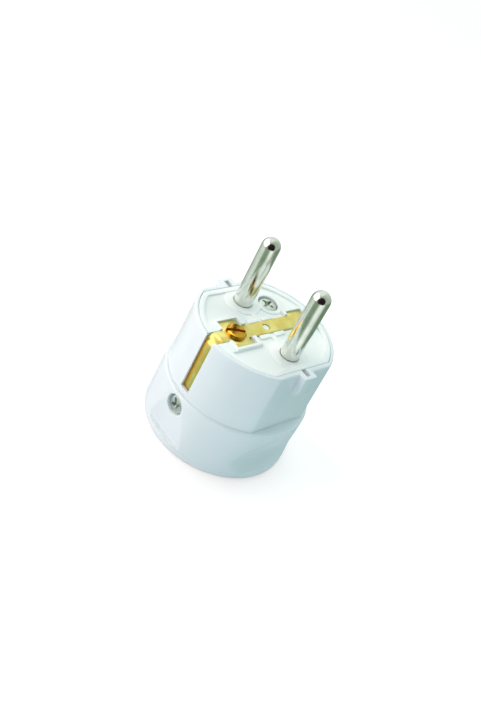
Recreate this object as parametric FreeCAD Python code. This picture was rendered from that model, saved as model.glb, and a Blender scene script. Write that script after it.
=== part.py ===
import FreeCAD, Part
import math
import os

# A type f plug with two earth contacts, standing on its rear face with the pins up.
# X runs through both pins, Y along the earth strip and Z along the pins.
# The origin is the centre of the rear face. All sizes are in millimetres.

V = FreeCAD.Vector

# Pins, fixed by the socket
PIN_PITCH = 19.0
PIN_RADIUS = 2.4
PIN_REACH = 19.3
PIN_SHANK_RADIUS = 2.9
PIN_SHANK_COVER = 1.5
PIN_NECK_RADIUS = 2.0
TERMINAL_WIDTH = 5.8
TERMINAL_LENGTH = 11.0

# Outside of the housing
BODY_HEIGHT = 34.0
FRONT_DRAFT = 0.3
FLAT_CUT = 2.1
RIM_ROUND = 0.5
COLLAR_HEIGHT = 16.0
COLLAR_STEP = 1.15
COLLAR_DRAFT = 0.3
COLLAR_LIP_ROUND = 0.5
COLLAR_FOOT_ROUND = 0.8

# Key ribs on the flats
KEY_STAND = 1.9
KEY_WIDTH = 4.1
KEY_LENGTH = 6.5
KEY_TAPER = 1.2
KEY_ROUND = 0.5
KEY_NOTCH_WIDTH = 1.4
KEY_WALL = 0.95
KEY_NOTCH_DEPTH = 6.0

# Finger scoops under the flats and sloped facets under the earth slots
GRIP_DROP = 0.6
GRIP_LEDGE = 2.2
SCOOP_DEPTH = 2.8
SCOOP_HEEL = 3.2
SCOOP_SAG = 0.23
SCOOP_HEEL_SHARE = 0.3
FACET_DEPTH = 1.2

# Walls and hollow of the housing
FRONT_WALL = 0.9
FLAT_WALL = 1.3
SEAT_LEDGE = 1.05
REAR_WALL = 2.5
CABLE_HOLE_RADIUS = 4.75
CABLE_HOLE_ROUND = 0.8

# Carrier that closes the front
CARRIER_THICKNESS = 4.0
CARRIER_RIM_WIDTH = 1.4
CARRIER_RECESS = 0.5
BOSS_RADIUS = 4.75
BOSS_STAND = 0.25
CHAMBER_WALL = 0.9
CHAMBER_LENGTH = 10.0
CHAMBER_GAP = 0.3
LEG_WIDTH = 9.6
LEG_THICKNESS = 2.6
LEG_COVER = 1.0

# Raised walls on the face of the carrier
GUIDE_WALL = 1.2
GUIDE_REACH = 4.0
GUIDE_GAP = 1.3
HEAD_WALL = 0.8
HEAD_END_WALL = 2.2
HEAD_WALL_STAND = 0.4
HEAD_ROOM = 0.8
CROSS_RIB_WIDTH = 1.4

# Folded earth strip and the slots that show it
STRIP_WIDTH = 4.0
STRIP_THICKNESS = 0.8
STRIP_BEND = 1.8
NEAR_HEAD_WIDTH = 8.6
NEAR_HEAD_LENGTH = 5.3
NEAR_NECK_LENGTH = 2.0
FAR_HEAD_WIDTH = 5.9
FAR_HEAD_LENGTH = 5.0
FAR_NECK_LENGTH = 0.6
FOLD_REACH = 2.85
ARM_WIDTH = 3.7
ARM_STAND = 0.4
ARM_TUCK = 0.8
SLOT_WIDTH = 2.9
SLOT_SILL = 1.5
PEG_RADIUS = 0.95
PEG_DROP = 0.25

# Earth terminal behind the carrier
EARTH_BLOCK_WIDTH = 7.2
EARTH_BLOCK_DEPTH = 4.2
EARTH_BLOCK_LENGTH = 9.5
EARTH_SCREW_LENGTH = 8.0

# Screws: shank radius, head radius, head height
EARTH_SCREW = (1.7, 2.55, 1.1)
CARRIER_SCREW = (1.45, 2.35, 1.6)
SIDE_SCREW = (1.5, 2.4, 1.6)
TERMINAL_SCREW = (1.45, 2.2, 1.5)
CLAMP_SCREW = (1.25, 2.2, 1.6)
TERMINAL_SCREW_LENGTH = 2.6
DRIVE_WIDTH = 0.8
DRIVE_DEPTH = 0.8
HEAD_CROWN = 0.5
CROSS_REACH_SHARE = 0.7
EARTH_SCREW_TURN = 65.0

# Face screw and its post
POST_X = -7.3
POST_Y = 7.0
POST_RADIUS = 2.75
POST_WEB = 1.6
FACE_RECESS_RADIUS = 2.7
FACE_RECESS_DEPTH = 2.0
CARRIER_SCREW_LENGTH = 12.0

# Side screw and its square nut
SIDE_SCREW_DROP = 3.9
SIDE_SEAT_DEPTH = 2.3
SIDE_RECESS_MOUTH = 3.0
SIDE_RECESS_FLOOR = 2.5
SIDE_BOSS_RADIUS = 3.3
NUT_WIDTH = 5.5
NUT_THICKNESS = 2.0
NUT_COVER = 0.95

# Cord grip at the rear end of the carrier
CLAMP_LOW = 3.5
CLAMP_HEIGHT = 6.0
CLAMP_SPLIT = -2.0
CLAMP_BACK = -9.0
CORD_RADIUS = 3.9
ARCH_WALL = 1.7
EAR_THICKNESS = 2.6
CLAMP_BAR_INSET = 0.5
CLAMP_EAR_MARGIN = 2.6
CLAMP_HEAD_MARGIN = 0.6
CLAMP_SCREW_LENGTH = 7.5

# Wires and clearances
WIRE_RADIUS = 1.4
WIRE_DEPTH = 6.0
FIT = 0.1
THREAD_FIT = 0.05
SCREW_FIT = 0.2
PAST = 1.0

# Levels and places that follow from the sizes above
RIM_Z = BODY_HEIGHT
SEAT_Z = RIM_Z - CARRIER_THICKNESS
FACE_Z = RIM_Z - CARRIER_RECESS
SHANK_TOP = FACE_Z - PIN_SHANK_COVER
BOSS_Z = FACE_Z + BOSS_STAND
WALL_TOP = RIM_Z + HEAD_WALL_STAND
PIN_X = PIN_PITCH / 2
CHAMBER_INNER = TERMINAL_WIDTH + 2 * FIT
CHAMBER_OUTER = CHAMBER_INNER + 2 * CHAMBER_WALL
CAVITY_FLAT = PIN_X + CHAMBER_OUTER / 2 + CHAMBER_GAP
CARRIER_FLAT = CAVITY_FLAT + SEAT_LEDGE - FIT
FRONT_FLAT = CARRIER_FLAT + FIT + FLAT_WALL
FRONT_RADIUS = FRONT_FLAT + FLAT_CUT
COLLAR_RADIUS = FRONT_RADIUS + COLLAR_STEP
CARRIER_RADIUS = FRONT_RADIUS - FRONT_WALL - FIT
CAVITY_RADIUS = CARRIER_RADIUS + FIT - SEAT_LEDGE
KEY_FACE = FRONT_FLAT + KEY_STAND
KEY_NOTCH_FACE = KEY_FACE - KEY_WALL
STRIP_LOW = RIM_Z - STRIP_THICKNESS
ARM_FACE = CARRIER_RADIUS + ARM_STAND
ARM_BACK = ARM_FACE - STRIP_THICKNESS
SLOT_END = COLLAR_HEIGHT + SLOT_SILL
ARM_END = SLOT_END - ARM_TUCK
SHORT_LEG_END = ARM_END - LEG_COVER
NECK_END = ARM_FACE - FOLD_REACH
NEAR_HEAD_END = NECK_END - NEAR_NECK_LENGTH
NEAR_HEAD_START = NEAR_HEAD_END - NEAR_HEAD_LENGTH
FAR_HEAD_END = NECK_END - FAR_NECK_LENGTH
FAR_HEAD_START = FAR_HEAD_END - FAR_HEAD_LENGTH
EARTH_Y = -(NEAR_HEAD_START + NEAR_HEAD_END) / 2
LEG_FACE = math.sqrt((CAVITY_RADIUS - FIT) ** 2 - (LEG_WIDTH / 2) ** 2)
LEG_BACK = LEG_FACE - LEG_THICKNESS
GRIP_TOP = COLLAR_HEIGHT - GRIP_DROP
SIDE_SCREW_Z = COLLAR_HEIGHT - SIDE_SCREW_DROP
SIDE_SEAT = COLLAR_RADIUS - SIDE_SEAT_DEPTH
NUT_SEAT = LEG_FACE - NUT_COVER
TERMINAL_END = SEAT_Z - TERMINAL_LENGTH
TERMINAL_SCREW_Z = TERMINAL_END + WIRE_DEPTH / 2
EARTH_END = SEAT_Z - EARTH_BLOCK_LENGTH
EARTH_SCREW_TIP = RIM_Z - EARTH_SCREW_LENGTH
EARTH_WIRE_DEPTH = EARTH_SCREW_TIP - EARTH_END - PAST
EARTH_FRONT = EARTH_Y + EARTH_BLOCK_DEPTH / 2
EARTH_SCREW_Z = EARTH_END + EARTH_WIRE_DEPTH / 2
CLAMP_TOP = CLAMP_LOW + CLAMP_HEIGHT
CLAMP_MIDDLE = CLAMP_LOW + CLAMP_HEIGHT / 2
EAR_FACE = CLAMP_SPLIT + EAR_THICKNESS
ARCH_RADIUS = CORD_RADIUS + ARCH_WALL
CLAMP_SCREW_X = ARCH_RADIUS + CLAMP_SCREW[1] + CLAMP_HEAD_MARGIN
CLAMP_HALF_WIDTH = CLAMP_SCREW_X + CLAMP_EAR_MARGIN


def block(x_low, x_high, y_low, y_high, z_low, z_high):
    return Part.makeBox(x_high - x_low, y_high - y_low, z_high - z_low, V(x_low, y_low, z_low))


def upright(radius, z_low, z_high, x=0.0, y=0.0):
    return Part.makeCylinder(radius, z_high - z_low, V(x, y, z_low))


def across(radius, y_low, y_high, x, z):
    return Part.makeCylinder(radius, y_high - y_low, V(x, y_low, z), V(0, 1, 0))


def joined(solids):
    return solids[0].multiFuse(solids[1:]).removeSplitter()


def turned_over(solid):
    # half a turn about the pin axis, for the pair on the other side
    copy = solid.copy()
    copy.rotate(V(0, 0, 0), V(0, 0, 1), 180)
    return copy


def plate_along_y(points, half_width):
    corners = [V(x, -half_width, z) for x, z in points]
    face = Part.Face(Part.makePolygon(corners + corners[:1]))
    return face.extrude(V(0, 2 * half_width, 0))


def plate_along_x(points, half_width):
    corners = [V(-half_width, y, z) for y, z in points]
    face = Part.Face(Part.makePolygon(corners + corners[:1]))
    return face.extrude(V(2 * half_width, 0, 0))


def flatted_round(radius, flat, z_low, z_high):
    return upright(radius, z_low, z_high).common(block(-flat, flat, -radius, radius, z_low, z_high))


def rounded(solid, radius, wanted):
    edges = [edge for edge in solid.Edges if wanted(edge)]
    return solid.makeFillet(radius, edges)


def lies_at(edge, z):
    box = edge.BoundBox
    return abs(box.ZMin - z) < 1e-4 and abs(box.ZMax - z) < 1e-4


def collar_radius(z):
    return COLLAR_RADIUS + COLLAR_DRAFT * (COLLAR_HEIGHT - z) / COLLAR_HEIGHT


# Housing

def drafted_front():
    # a rounded cone between two rounded flats, its foot sunk in the collar down to where the grips start
    foot_radius = FRONT_RADIUS + FRONT_DRAFT
    foot_flat = FRONT_FLAT + FRONT_DRAFT
    cone = Part.makeCone(foot_radius, FRONT_RADIUS, RIM_Z - GRIP_TOP, V(0, 0, GRIP_TOP))
    outline = [(-foot_flat, GRIP_TOP), (foot_flat, GRIP_TOP), (FRONT_FLAT, RIM_Z), (-FRONT_FLAT, RIM_Z)]
    flats = plate_along_y(outline, COLLAR_RADIUS)
    cone = rounded(cone, RIM_ROUND, lambda edge: lies_at(edge, RIM_Z))
    flats = rounded(flats, RIM_ROUND, lambda edge: lies_at(edge, RIM_Z) and edge.BoundBox.XLength < FIT)
    return cone.common(flats)


def scoop():
    # side view of the finger scoop: a long slope down to the heel, then a round up to the ledge
    top = V(collar_radius(GRIP_TOP), -COLLAR_RADIUS, GRIP_TOP)
    heel = V(collar_radius(SCOOP_HEEL) - SCOOP_DEPTH, -COLLAR_RADIUS, SCOOP_HEEL + SCOOP_DEPTH)
    edge = V(collar_radius(GRIP_LEDGE) + FIT, -COLLAR_RADIUS, GRIP_LEDGE)
    outside = V(COLLAR_RADIUS + SCOOP_DEPTH, -COLLAR_RADIUS, GRIP_LEDGE)
    over = V(COLLAR_RADIUS + SCOOP_DEPTH, -COLLAR_RADIUS, GRIP_TOP)
    slope_middle = (top + heel) / 2 - V(SCOOP_SAG, 0, 0)
    corner = V(heel.x, heel.y, edge.z)
    heel_middle = corner + (heel + edge - corner * 2) * SCOOP_HEEL_SHARE
    sides = [
        Part.Arc(top, slope_middle, heel).toShape(),
        Part.Arc(heel, heel_middle, edge).toShape(),
        Part.makeLine(edge, outside),
        Part.makeLine(outside, over),
        Part.makeLine(over, top),
    ]
    return Part.Face(Part.Wire(sides)).extrude(V(0, 2 * COLLAR_RADIUS, 0))


def facet():
    start = collar_radius(GRIP_TOP)
    end = collar_radius(GRIP_LEDGE) - FACET_DEPTH
    outer = COLLAR_RADIUS + SCOOP_DEPTH
    side = [(-start, GRIP_TOP), (-end, GRIP_LEDGE), (-outer, GRIP_LEDGE), (-outer, GRIP_TOP)]
    return plate_along_x(side, COLLAR_RADIUS)


def collar():
    solid = Part.makeCone(collar_radius(0), COLLAR_RADIUS, COLLAR_HEIGHT)
    solid = rounded(solid, COLLAR_LIP_ROUND, lambda edge: lies_at(edge, COLLAR_HEIGHT))
    solid = rounded(solid, COLLAR_FOOT_ROUND, lambda edge: lies_at(edge, 0))
    grips = [scoop(), facet()]
    return solid.cut(grips + [turned_over(grip) for grip in grips])


def key_rib():
    root = CARRIER_FLAT + FIT
    low = RIM_Z - KEY_LENGTH
    side = [(root, low), (FRONT_FLAT, low), (KEY_FACE, low + KEY_TAPER), (KEY_FACE, RIM_Z), (root, RIM_Z)]
    rib = plate_along_y(side, KEY_WIDTH / 2)

    def outer_edge(edge):
        return edge.BoundBox.XMin > KEY_FACE - FIT and edge.BoundBox.YLength < FIT

    return rounded(rib, KEY_ROUND, outer_edge)


def key_notch():
    half = KEY_NOTCH_WIDTH / 2
    return block(CARRIER_FLAT, KEY_NOTCH_FACE, -half, half, RIM_Z - KEY_NOTCH_DEPTH, RIM_Z + PAST)


def earth_slot():
    # a narrow window in the wall, with a wider way behind it for the arm
    half = SLOT_WIDTH / 2
    window = block(-half, half, -COLLAR_RADIUS, -ARM_BACK, SLOT_END, RIM_Z + PAST)
    half = ARM_WIDTH / 2 + FIT
    return window.fuse(block(-half, half, -ARM_FACE - FIT, -LEG_FACE, ARM_END - FIT, RIM_Z + PAST))


def hollow():
    front = flatted_round(CARRIER_RADIUS + FIT, CARRIER_FLAT + FIT, SEAT_Z, RIM_Z + PAST)
    rear = flatted_round(CAVITY_RADIUS, CAVITY_FLAT, REAR_WALL, SEAT_Z)
    return front.fuse(rear)


def screw_post():
    # full-height post for the face screw, tied to the wall by a web
    distance = math.hypot(POST_X, POST_Y)
    angle = math.degrees(math.atan2(POST_Y, POST_X))
    web = block(distance, CAVITY_RADIUS + PAST, -POST_WEB / 2, POST_WEB / 2, REAR_WALL, SEAT_Z - PAST)
    web.rotate(V(0, 0, 0), V(0, 0, 1), angle)
    post = upright(POST_RADIUS, REAR_WALL, SEAT_Z, POST_X, POST_Y)
    pilot = upright(CARRIER_SCREW[0] + THREAD_FIT, SEAT_Z - CARRIER_SCREW_LENGTH, SEAT_Z, POST_X, POST_Y)
    return post.fuse(web).cut(pilot)


def side_screw_boss():
    return across(SIDE_BOSS_RADIUS, -CAVITY_RADIUS - PAST, -LEG_FACE, 0, SIDE_SCREW_Z)


def side_screw_way():
    depth = collar_radius(SIDE_SCREW_Z) - SIDE_SEAT
    mouth = V(0, -collar_radius(SIDE_SCREW_Z), SIDE_SCREW_Z)
    recess = Part.makeCone(SIDE_RECESS_MOUTH, SIDE_RECESS_FLOOR, depth, mouth, V(0, 1, 0))
    return recess.fuse(across(SIDE_SCREW[0] + SCREW_FIT, -SIDE_SEAT, -LEG_FACE, 0, SIDE_SCREW_Z))


def housing():
    ribs = [key_rib(), turned_over(key_rib())]
    shell = joined([drafted_front(), collar()] + ribs).cut(hollow())
    shell = joined([shell, screw_post(), side_screw_boss()])
    cable_hole = upright(CABLE_HOLE_RADIUS, -PAST, REAR_WALL + PAST)
    openings = [earth_slot(), key_notch()]
    openings += [turned_over(opening) for opening in openings]
    shell = shell.cut(openings + [cable_hole, side_screw_way()])

    def hole_edge(edge):
        return lies_at(edge, 0) and edge.BoundBox.XMax < CABLE_HOLE_RADIUS + FIT

    return rounded(shell, CABLE_HOLE_ROUND, hole_edge)


# Earth strip

def strip_blank(spare, z_low, z_high):
    # outline of the strip seen from the front, with spare room all round
    def band(width, y_low, y_high):
        half = width / 2 + spare
        return block(-half, half, y_low - spare, y_high + spare, z_low, z_high)

    return joined([
        band(STRIP_WIDTH, -NEAR_HEAD_START - PAST, FAR_HEAD_START + PAST),
        band(NEAR_HEAD_WIDTH, -NEAR_HEAD_END, -NEAR_HEAD_START),
        band(FAR_HEAD_WIDTH, FAR_HEAD_START, FAR_HEAD_END),
        band(ARM_WIDTH, -ARM_FACE, ARM_FACE),
    ])


def folded_loop(inset):
    # the strip's fold seen from the side, as a block with two rounded upper edges
    half = ARM_FACE - inset
    width = NEAR_HEAD_WIDTH / 2
    top = RIM_Z - inset
    loop = block(-width, width, -half, half, ARM_END, top)
    bend = STRIP_BEND + STRIP_THICKNESS - inset
    return rounded(loop, bend, lambda edge: lies_at(edge, top) and edge.BoundBox.XLength > width)


def earth_strip():
    strip = folded_loop(0).cut(folded_loop(STRIP_THICKNESS))
    strip = strip.common(strip_blank(0, ARM_END, RIM_Z))
    screw_hole = upright(EARTH_SCREW[0] + SCREW_FIT, STRIP_LOW, RIM_Z, 0, EARTH_Y)
    return strip.cut([screw_hole, upright(PEG_RADIUS + THREAD_FIT, STRIP_LOW, RIM_Z)])


# Carrier

def face_walls():
    # low walls that guide the strip and guard the pins
    inner = STRIP_WIDTH / 2 + FIT
    outer = inner + GUIDE_WALL
    reach = GUIDE_REACH - GUIDE_GAP / 2
    rib = CROSS_RIB_WIDTH / 2
    low = FACE_Z - PAST
    walls = []
    for side in (-1, 1):
        x_low, x_high = sorted((side * inner, side * outer))
        for start in (-GUIDE_REACH, GUIDE_GAP / 2):
            walls.append(block(x_low, x_high, start, start + reach, low, RIM_Z))
        x_low, x_high = sorted((side * inner, side * PIN_X))
        walls.append(block(x_low, x_high, -rib, rib, low, BOSS_Z))
    half = NEAR_HEAD_WIDTH / 2 + FIT + HEAD_WALL
    end = -NEAR_HEAD_START + HEAD_END_WALL
    walls.append(block(-half, half, -CARRIER_RADIUS, end, low, RIM_Z))
    walls.append(block(-half, half, -NEAR_HEAD_END - HEAD_WALL, end, low, WALL_TOP))
    half = FAR_HEAD_WIDTH / 2 + FIT + HEAD_WALL
    start = FAR_HEAD_START - HEAD_WALL
    walls.append(block(-half, half, start, CARRIER_RADIUS, low, RIM_Z))
    walls.append(block(-half, half, start, FAR_HEAD_END + HEAD_WALL, low, WALL_TOP))
    return walls


def carrier_plate():
    plate = flatted_round(CARRIER_RADIUS, CARRIER_FLAT, SEAT_Z, RIM_Z)
    inner_radius = CARRIER_RADIUS - CARRIER_RIM_WIDTH
    inner_flat = CARRIER_FLAT - CARRIER_RIM_WIDTH
    dished = plate.cut(flatted_round(inner_radius, inner_flat, FACE_Z, RIM_Z + PAST))
    raised = face_walls()
    low = FACE_Z - PAST
    for x in (-PIN_X, PIN_X):
        raised.append(upright(BOSS_RADIUS, low, BOSS_Z, x, 0))
    raised.append(upright(FACE_RECESS_RADIUS + GUIDE_WALL, low, BOSS_Z, POST_X, POST_Y))
    limit = flatted_round(CARRIER_RADIUS, CARRIER_FLAT, SEAT_Z, WALL_TOP)
    return joined([dished] + [wall.common(limit) for wall in raised])


def terminal_chamber(x):
    # square well behind the face that keeps a pin's terminal from turning, open to its screw
    outer = CHAMBER_OUTER / 2
    inner = CHAMBER_INNER / 2
    well = block(x - outer, x + outer, -outer, outer, SEAT_Z - CHAMBER_LENGTH, SEAT_Z)
    room = block(x - inner, x + inner, -inner, inner, SEAT_Z - CHAMBER_LENGTH, SEAT_Z)
    gate = TERMINAL_SCREW[1] + SCREW_FIT
    way = block(x - gate, x + gate, -outer, 0, SEAT_Z - CHAMBER_LENGTH, TERMINAL_SCREW_Z + gate)
    return well.cut([room, way])


def legs():
    half = LEG_WIDTH / 2
    long_leg = block(-half, half, -LEG_FACE, -LEG_BACK, CLAMP_LOW, SEAT_Z)
    short_leg = block(-half, half, LEG_BACK, LEG_FACE, SHORT_LEG_END, SEAT_Z)
    saddle = block(-CLAMP_HALF_WIDTH, CLAMP_HALF_WIDTH, CLAMP_BACK, CLAMP_SPLIT, CLAMP_LOW, CLAMP_TOP)
    tie = block(-half, half, -LEG_BACK, CLAMP_BACK, CLAMP_LOW, CLAMP_TOP)
    # a pad on each leg backs the arm of the strip
    half = ARM_WIDTH / 2
    pad = block(-half, half, -ARM_BACK + FIT, -LEG_BACK, ARM_END, SEAT_Z)
    return [long_leg, short_leg, saddle, tie, pad, turned_over(pad)]


def nut_pocket():
    half = NUT_WIDTH / 2 + FIT
    back = -NUT_SEAT + NUT_THICKNESS
    pocket = block(-half, half, -NUT_SEAT, back + FIT, SIDE_SCREW_Z - half, SIDE_SCREW_Z + half)
    return pocket.fuse(across(SIDE_SCREW[0] + SCREW_FIT, -LEG_FACE, back + PAST, 0, SIDE_SCREW_Z))


def arm_notch():
    # way for the arm through the plate, with room for the inside of its fold
    half = ARM_WIDTH / 2 + FIT
    notch = block(-half, half, -CARRIER_RADIUS, -ARM_BACK + FIT, SEAT_Z, RIM_Z)
    fold = STRIP_BEND + FIT
    return notch.fuse(block(-half, half, -CARRIER_RADIUS, -ARM_BACK + fold, STRIP_LOW - fold, RIM_Z))


def pin_carrier():
    chambers = [terminal_chamber(-PIN_X), terminal_chamber(PIN_X)]
    solid = joined([carrier_plate()] + chambers + legs())
    cuts = [strip_blank(FIT, STRIP_LOW, RIM_Z + PAST)]
    half = NEAR_HEAD_WIDTH / 2 + FIT
    cuts.append(block(-half, half, EARTH_Y, -NEAR_HEAD_START + HEAD_ROOM, STRIP_LOW, RIM_Z + PAST))
    for x in (-PIN_X, PIN_X):
        cuts.append(upright(PIN_SHANK_RADIUS, SEAT_Z, SHANK_TOP, x, 0))
        cuts.append(upright(PIN_NECK_RADIUS, SHANK_TOP, BOSS_Z, x, 0))
    cuts += [arm_notch(), turned_over(arm_notch()), nut_pocket()]
    cuts.append(upright(EARTH_SCREW[0] + SCREW_FIT, SEAT_Z, RIM_Z, 0, EARTH_Y))
    cuts.append(upright(FACE_RECESS_RADIUS, RIM_Z - FACE_RECESS_DEPTH, RIM_Z, POST_X, POST_Y))
    cuts.append(upright(CARRIER_SCREW[0] + SCREW_FIT, SEAT_Z, RIM_Z, POST_X, POST_Y))
    cuts.append(upright(CORD_RADIUS, CLAMP_LOW, CLAMP_TOP))
    for x in (-CLAMP_SCREW_X, CLAMP_SCREW_X):
        tip = EAR_FACE - CLAMP_SCREW_LENGTH
        cuts.append(across(CLAMP_SCREW[0] + THREAD_FIT, tip, CLAMP_SPLIT, x, CLAMP_MIDDLE))
    peg = upright(PEG_RADIUS, STRIP_LOW - PAST, RIM_Z - PEG_DROP)
    return joined([solid.cut(cuts), peg])


# Pins, terminals and screws

def pin(x):
    # the carrier is moulded round the neck and shank, so the pin can't pull out
    half = TERMINAL_WIDTH / 2
    tip = RIM_Z + PIN_REACH
    solid = joined([
        block(x - half, x + half, -half, half, TERMINAL_END, SEAT_Z),
        upright(PIN_SHANK_RADIUS, SEAT_Z, SHANK_TOP, x, 0),
        upright(PIN_NECK_RADIUS, SHANK_TOP, BOSS_Z, x, 0),
        upright(PIN_RADIUS, BOSS_Z, tip - PIN_RADIUS, x, 0),
        Part.makeSphere(PIN_RADIUS, V(x, 0, tip - PIN_RADIUS), V(0, 0, 1), 0, 90),
    ])
    wire_hole = upright(WIRE_RADIUS, TERMINAL_END, TERMINAL_END + WIRE_DEPTH, x, 0)
    screw_end = TERMINAL_SCREW_LENGTH + FIT - half
    screw_hole = across(TERMINAL_SCREW[0] + THREAD_FIT, -half, screw_end, x, TERMINAL_SCREW_Z)
    return solid.cut([wire_hole, screw_hole])


def earth_terminal():
    half = EARTH_BLOCK_WIDTH / 2
    solid = block(-half, half, EARTH_Y - EARTH_BLOCK_DEPTH / 2, EARTH_FRONT, EARTH_END, SEAT_Z)
    screw_end = EARTH_FRONT - TERMINAL_SCREW_LENGTH - FIT
    return solid.cut([
        upright(EARTH_SCREW[0] + THREAD_FIT, EARTH_SCREW_TIP, SEAT_Z, 0, EARTH_Y),
        upright(WIRE_RADIUS, EARTH_END, EARTH_END + EARTH_WIRE_DEPTH, 0, EARTH_Y),
        across(TERMINAL_SCREW[0] + THREAD_FIT, screw_end, EARTH_FRONT, 0, EARTH_SCREW_Z),
    ])


def screw(size, length, crossed):
    # head up, with its seat at the origin
    shank_radius, head_radius, head_height = size
    head = upright(head_radius, 0, head_height)
    head = rounded(head, HEAD_CROWN, lambda edge: lies_at(edge, head_height))
    solid = joined([head, upright(shank_radius, -length, 0)])
    half = DRIVE_WIDTH / 2
    reach = head_radius * CROSS_REACH_SHARE if crossed else head_radius
    drives = [block(-reach, reach, -half, half, head_height - DRIVE_DEPTH, head_height)]
    if crossed:
        drives.append(block(-half, half, -reach, reach, head_height - DRIVE_DEPTH, head_height))
    return solid.cut(drives)


def facing(solid, direction, seat):
    # turns a screw from pointing up to the way its head faces, and sets it on its seat
    solid.Placement = FreeCAD.Placement(V(*seat), FreeCAD.Rotation(V(0, 0, 1), V(*direction)))
    return solid


def earth_screw():
    solid = screw(EARTH_SCREW, EARTH_SCREW_LENGTH, False)
    solid.rotate(V(0, 0, 0), V(0, 0, 1), EARTH_SCREW_TURN)
    solid.translate(V(0, EARTH_Y, RIM_Z))
    return solid


def carrier_screw():
    solid = screw(CARRIER_SCREW, CARRIER_SCREW_LENGTH, True)
    return facing(solid, (0, 0, 1), (POST_X, POST_Y, RIM_Z - FACE_RECESS_DEPTH))


def side_screw():
    length = SIDE_SEAT - NUT_SEAT + NUT_THICKNESS + PAST
    return facing(screw(SIDE_SCREW, length, True), (0, -1, 0), (0, -SIDE_SEAT, SIDE_SCREW_Z))


def side_nut():
    half = NUT_WIDTH / 2
    low = -NUT_SEAT
    high = low + NUT_THICKNESS
    nut = block(-half, half, low, high, SIDE_SCREW_Z - half, SIDE_SCREW_Z + half)
    return nut.cut(across(SIDE_SCREW[0] + THREAD_FIT, low, high, 0, SIDE_SCREW_Z))


def terminal_screws():
    seats = [((0, -1, 0), (x, -TERMINAL_WIDTH / 2, TERMINAL_SCREW_Z)) for x in (-PIN_X, PIN_X)]
    seats.append(((0, 1, 0), (0, EARTH_FRONT, EARTH_SCREW_Z)))
    screws = []
    for direction, seat in seats:
        screws.append(facing(screw(TERMINAL_SCREW, TERMINAL_SCREW_LENGTH, False), direction, seat))
    return Part.makeCompound(screws)


def clamp_bar():
    low = CLAMP_LOW + CLAMP_BAR_INSET
    high = CLAMP_TOP - CLAMP_BAR_INSET
    ears = block(-CLAMP_HALF_WIDTH, CLAMP_HALF_WIDTH, CLAMP_SPLIT, EAR_FACE, low, high)
    arch = upright(ARCH_RADIUS, low, high)
    arch = arch.common(block(-ARCH_RADIUS, ARCH_RADIUS, CLAMP_SPLIT, ARCH_RADIUS, low, high))
    holes = [upright(CORD_RADIUS, low, high)]
    for x in (-CLAMP_SCREW_X, CLAMP_SCREW_X):
        holes.append(across(CLAMP_SCREW[0] + SCREW_FIT, CLAMP_SPLIT, EAR_FACE, x, CLAMP_MIDDLE))
    return ears.fuse(arch).removeSplitter().cut(holes)


def clamp_screws():
    screws = []
    for x in (-CLAMP_SCREW_X, CLAMP_SCREW_X):
        solid = screw(CLAMP_SCREW, CLAMP_SCREW_LENGTH, True)
        screws.append(facing(solid, (0, 1, 0), (x, EAR_FACE, CLAMP_MIDDLE)))
    return Part.makeCompound(screws)


def main():
    os.makedirs("parts", exist_ok=True)
    nodes = {
        "housing": housing(),
        "pin_carrier": pin_carrier(),
        "line_pin": pin(PIN_X),
        "neutral_pin": pin(-PIN_X),
        "terminal_screws": terminal_screws(),
        "earth_strip": earth_strip(),
        "earth_screw": earth_screw(),
        "earth_terminal": earth_terminal(),
        "carrier_screw": carrier_screw(),
        "side_screw": side_screw(),
        "side_nut": side_nut(),
        "clamp_bar": clamp_bar(),
        "clamp_screws": clamp_screws(),
    }
    for name, shape in nodes.items():
        shape.exportStep("parts/" + name + ".step")


main()
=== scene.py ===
import math

import bmesh
import bpy
from bpy.props import FloatProperty, FloatVectorProperty, PointerProperty
from mathutils import Euler, Matrix, Vector


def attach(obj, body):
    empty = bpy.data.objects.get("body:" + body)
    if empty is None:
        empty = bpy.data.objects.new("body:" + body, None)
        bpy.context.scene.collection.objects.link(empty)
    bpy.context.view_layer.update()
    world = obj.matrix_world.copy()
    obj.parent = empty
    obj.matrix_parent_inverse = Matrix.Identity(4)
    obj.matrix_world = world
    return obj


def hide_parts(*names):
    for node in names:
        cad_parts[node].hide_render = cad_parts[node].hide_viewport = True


bl_info = {
    "name": "Type F Plug",
    "version": (1, 0, 0),
    "blender": (4, 5, 0),
    "location": "3D View > Sidebar > Plug",
    "description": "Builds the visible pieces of a round earthed plug around its packed frame",
    "category": "Add Mesh",
}

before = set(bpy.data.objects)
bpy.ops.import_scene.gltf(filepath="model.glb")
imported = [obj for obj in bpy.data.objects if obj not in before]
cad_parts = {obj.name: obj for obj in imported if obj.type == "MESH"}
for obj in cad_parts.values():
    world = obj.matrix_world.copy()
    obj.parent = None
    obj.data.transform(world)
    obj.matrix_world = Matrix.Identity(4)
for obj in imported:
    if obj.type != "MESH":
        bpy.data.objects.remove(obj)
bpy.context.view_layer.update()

SPIN_STEPS = 288    # the housing and the carrier
PIN_STEPS = 128
RING_STEPS = 96     # bosses, room for the pins, and screws
SMALL_STEPS = 72
HOLE_STEPS = 48
ARC_STEPS = 6
EDGE_STEPS = 4      # very small roundings

# Values that a user has no need to change, lengths in metres. Each section names more of its own.
SAME_PLACE = 1e-7   # points closer than this are one
CLEAN_UP = 2e-7     # the same, after cutting
HAIR = 0.00001      # keeps two faces out of one plane
UNDERCUT = 0.0001   # how far a short cut runs past the face that it starts from
OVERCUT = 0.001     # how far a cut runs out of its piece
ROOT = 0.001        # how far a joined block reaches into its piece
SHORT_ROOT = 0.0005
FAR_OFF = 30.0      # softnesses from a limit at which its rounded corner no longer shows
SHARP_ANGLE = 32    # degrees above which an edge is shaded sharp
X, Y = 0, 1

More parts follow.
